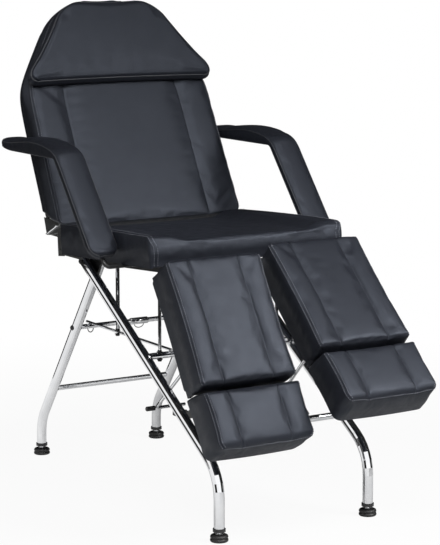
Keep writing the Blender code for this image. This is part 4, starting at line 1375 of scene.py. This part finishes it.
sleeve_length = 0.055
sleeve_start = bar_spot - Vector((0.020, 0, 0))
sleeve = bmesh.new()
sleeve_wall = ((-0.0010, 0), (0.0018, 0), (0.0026, 0.0008), (0.0026, sleeve_length - 0.0008),
               (0.0018, sleeve_length), (-0.0010, sleeve_length), (-0.0010, 0))
turned(sleeve, [(bar_radius + out, along) for out, along in sleeve_wall],
       Matrix.Translation(sleeve_start) @ Matrix.Rotation(math.radians(90), 4, "Y"), 32)
bmesh.ops.remove_doubles(sleeve, verts=sleeve.verts, dist=1e-6)
keep("bar_sleeve", sleeve, chrome, "frame")
loops = bmesh.new()
wire_loop(loops, bar_spot + Vector((0.008, 0, -bar_radius)), 0.016, 0.013, 0.0013)
wire_loop(loops, bar_spot + Vector((-0.150, 0, 0.001 - bar_radius)), 0.009, 0.012, 0.0016)
keep("bar_loops", loops, zinc, "frame")
print("sleeve and loops made")

# %% [markdown]
# ## The studio
# The photograph has a plain white ground and one broad soft light from the front. The floor
# keeps a soft shadow, and the camera sees it almost white. Mirrors see that floor, darkened
# under the chair and towards its right side by painted shadow, a bright front wall and a
# bright panel on the left of a dark room, which draws the black streaks in the chrome.


# %% Studio
def vector_value(tree, operation, first, second):
    return add_node(tree, "ShaderNodeVectorMath", {0: first, 1: second}, operation=operation).outputs["Value"]


floor_reach = 2.4
floor_sides = 96
floor_mesh = bpy.data.meshes.new("floor")
rim_turns = [2 * math.pi * step / floor_sides for step in range(floor_sides)]
rim_spots = [(floor_reach * math.cos(turn), floor_reach * math.sin(turn), 0) for turn in rim_turns]
floor_mesh.from_pydata(rim_spots, [], [tuple(range(floor_sides))])
floor = bpy.data.objects.new("floor", floor_mesh)
scene.collection.objects.link(floor)
floor_paint, tree, shader = start_material("floor_paint")
shader.inputs["Base Color"].default_value = (0.70, 0.70, 0.70, 1)
shader.inputs["Roughness"].default_value = 0.9
shader.inputs["Specular IOR Level"].default_value = 0.0
glow = add_node(tree, "ShaderNodeEmission", {"Color": (1, 1, 1, 1), "Strength": 1.0})
path = add_node(tree, "ShaderNodeLightPath")
mirrored = math_node(tree, "MAXIMUM", path.outputs["Is Glossy Ray"], path.outputs["Is Transmission Ray"])
spot = object_place(tree)
aside = vector_value(tree, "DOT_PRODUCT", spot, (1, 0, 0))
under = vector_value(tree, "DISTANCE", spot, (0, -0.3, 0))
# Painted shadow for mirrors: the floor they see glows less under the chair and towards its right side.
painted_floor_shade = math_node(tree, "MULTIPLY", ranged(tree, aside, 0.97, 0.10, -0.50, 0.40),
                 ranged(tree, under, 0.15, 1.0, 0.25, 0.75))
mirrored = math_node(tree, "MULTIPLY", mirrored, painted_floor_shade)
seen = math_node(tree, "MAXIMUM", path.outputs["Is Camera Ray"], mirrored)
away = add_node(tree, "ShaderNodeVectorMath", {0: spot}, operation="LENGTH").outputs["Value"]
whiteness = ranged(tree, away, 0.94, 1.0, 0.9, 2.3)
mixed = add_node(tree, "ShaderNodeMixShader", {0: math_node(tree, "MULTIPLY", seen, whiteness),
                                               1: shader.outputs[0], 2: glow.outputs[0]})
tree.links.new(mixed.outputs[0], tree.nodes["Material Output"].inputs["Surface"])
floor_mesh.materials.append(floor_paint)

world = bpy.data.worlds.new("pale_room")
scene.world = world
world.use_nodes = True
tree = world.node_tree
backdrop = tree.nodes["Background"]
ambient = add_node(tree, "ShaderNodeBackground", {"Color": (1.0, 1.0, 1.0, 1), "Strength": 0.10})
path = add_node(tree, "ShaderNodeLightPath")
way_to = add_node(tree, "ShaderNodeTexCoord").outputs["Generated"]
front_panel = vector_value(tree, "DOT_PRODUCT", way_to, (-0.10, -0.82, 0.56))
left_panel = vector_value(tree, "DOT_PRODUCT", way_to, (-0.85, 0.25, 0.46))
front_light = ranged(tree, front_panel, 0.02, 1.2, 0.63, 0.80)
left_light = ranged(tree, left_panel, 0.0, 1.0, 0.84, 0.87)
panels = math_node(tree, "MAXIMUM", front_light, left_light)
room = add_node(tree, "ShaderNodeBackground", {"Color": (1, 1, 1, 1), "Strength": panels})
backdrop.inputs["Color"].default_value = (1, 1, 1, 1)
mirror = math_node(tree, "MAXIMUM", path.outputs["Is Glossy Ray"], path.outputs["Is Transmission Ray"])
lit = add_node(tree, "ShaderNodeMixShader", {0: mirror, 1: ambient.outputs[0], 2: room.outputs[0]})
shown = add_node(tree, "ShaderNodeMixShader", {0: path.outputs["Is Camera Ray"], 1: lit.outputs[0],
                                               2: backdrop.outputs[0]})
tree.links.new(shown.outputs[0], tree.nodes["World Output"].inputs["Surface"])


def softbox(name, spot, aim, size, power, spread=180):
    data = bpy.data.lights.new(name, "AREA")
    data.shape = "RECTANGLE"
    data.size, data.size_y = size
    data.energy = power
    data.spread = math.radians(spread)
    lamp = bpy.data.objects.new(name, data)
    scene.collection.objects.link(lamp)
    lamp.visible_camera = False
    lamp.location = spot
    lamp.rotation_mode = "QUATERNION"
    lamp.rotation_quaternion = (Vector(aim) - Vector(spot)).to_track_quat("-Z", "Y")


chair_middle = (0.0, 0.0, 0.7)
softbox("front_softbox", (-1.05, -1.9, 3.3), chair_middle, (1.9, 1.5), 66)
softbox("leg_softbox", (1.15, -1.95, 2.0), (0.0, -0.5, 0.35), (1.0, 1.0), 10, 70)
print("studio ready")
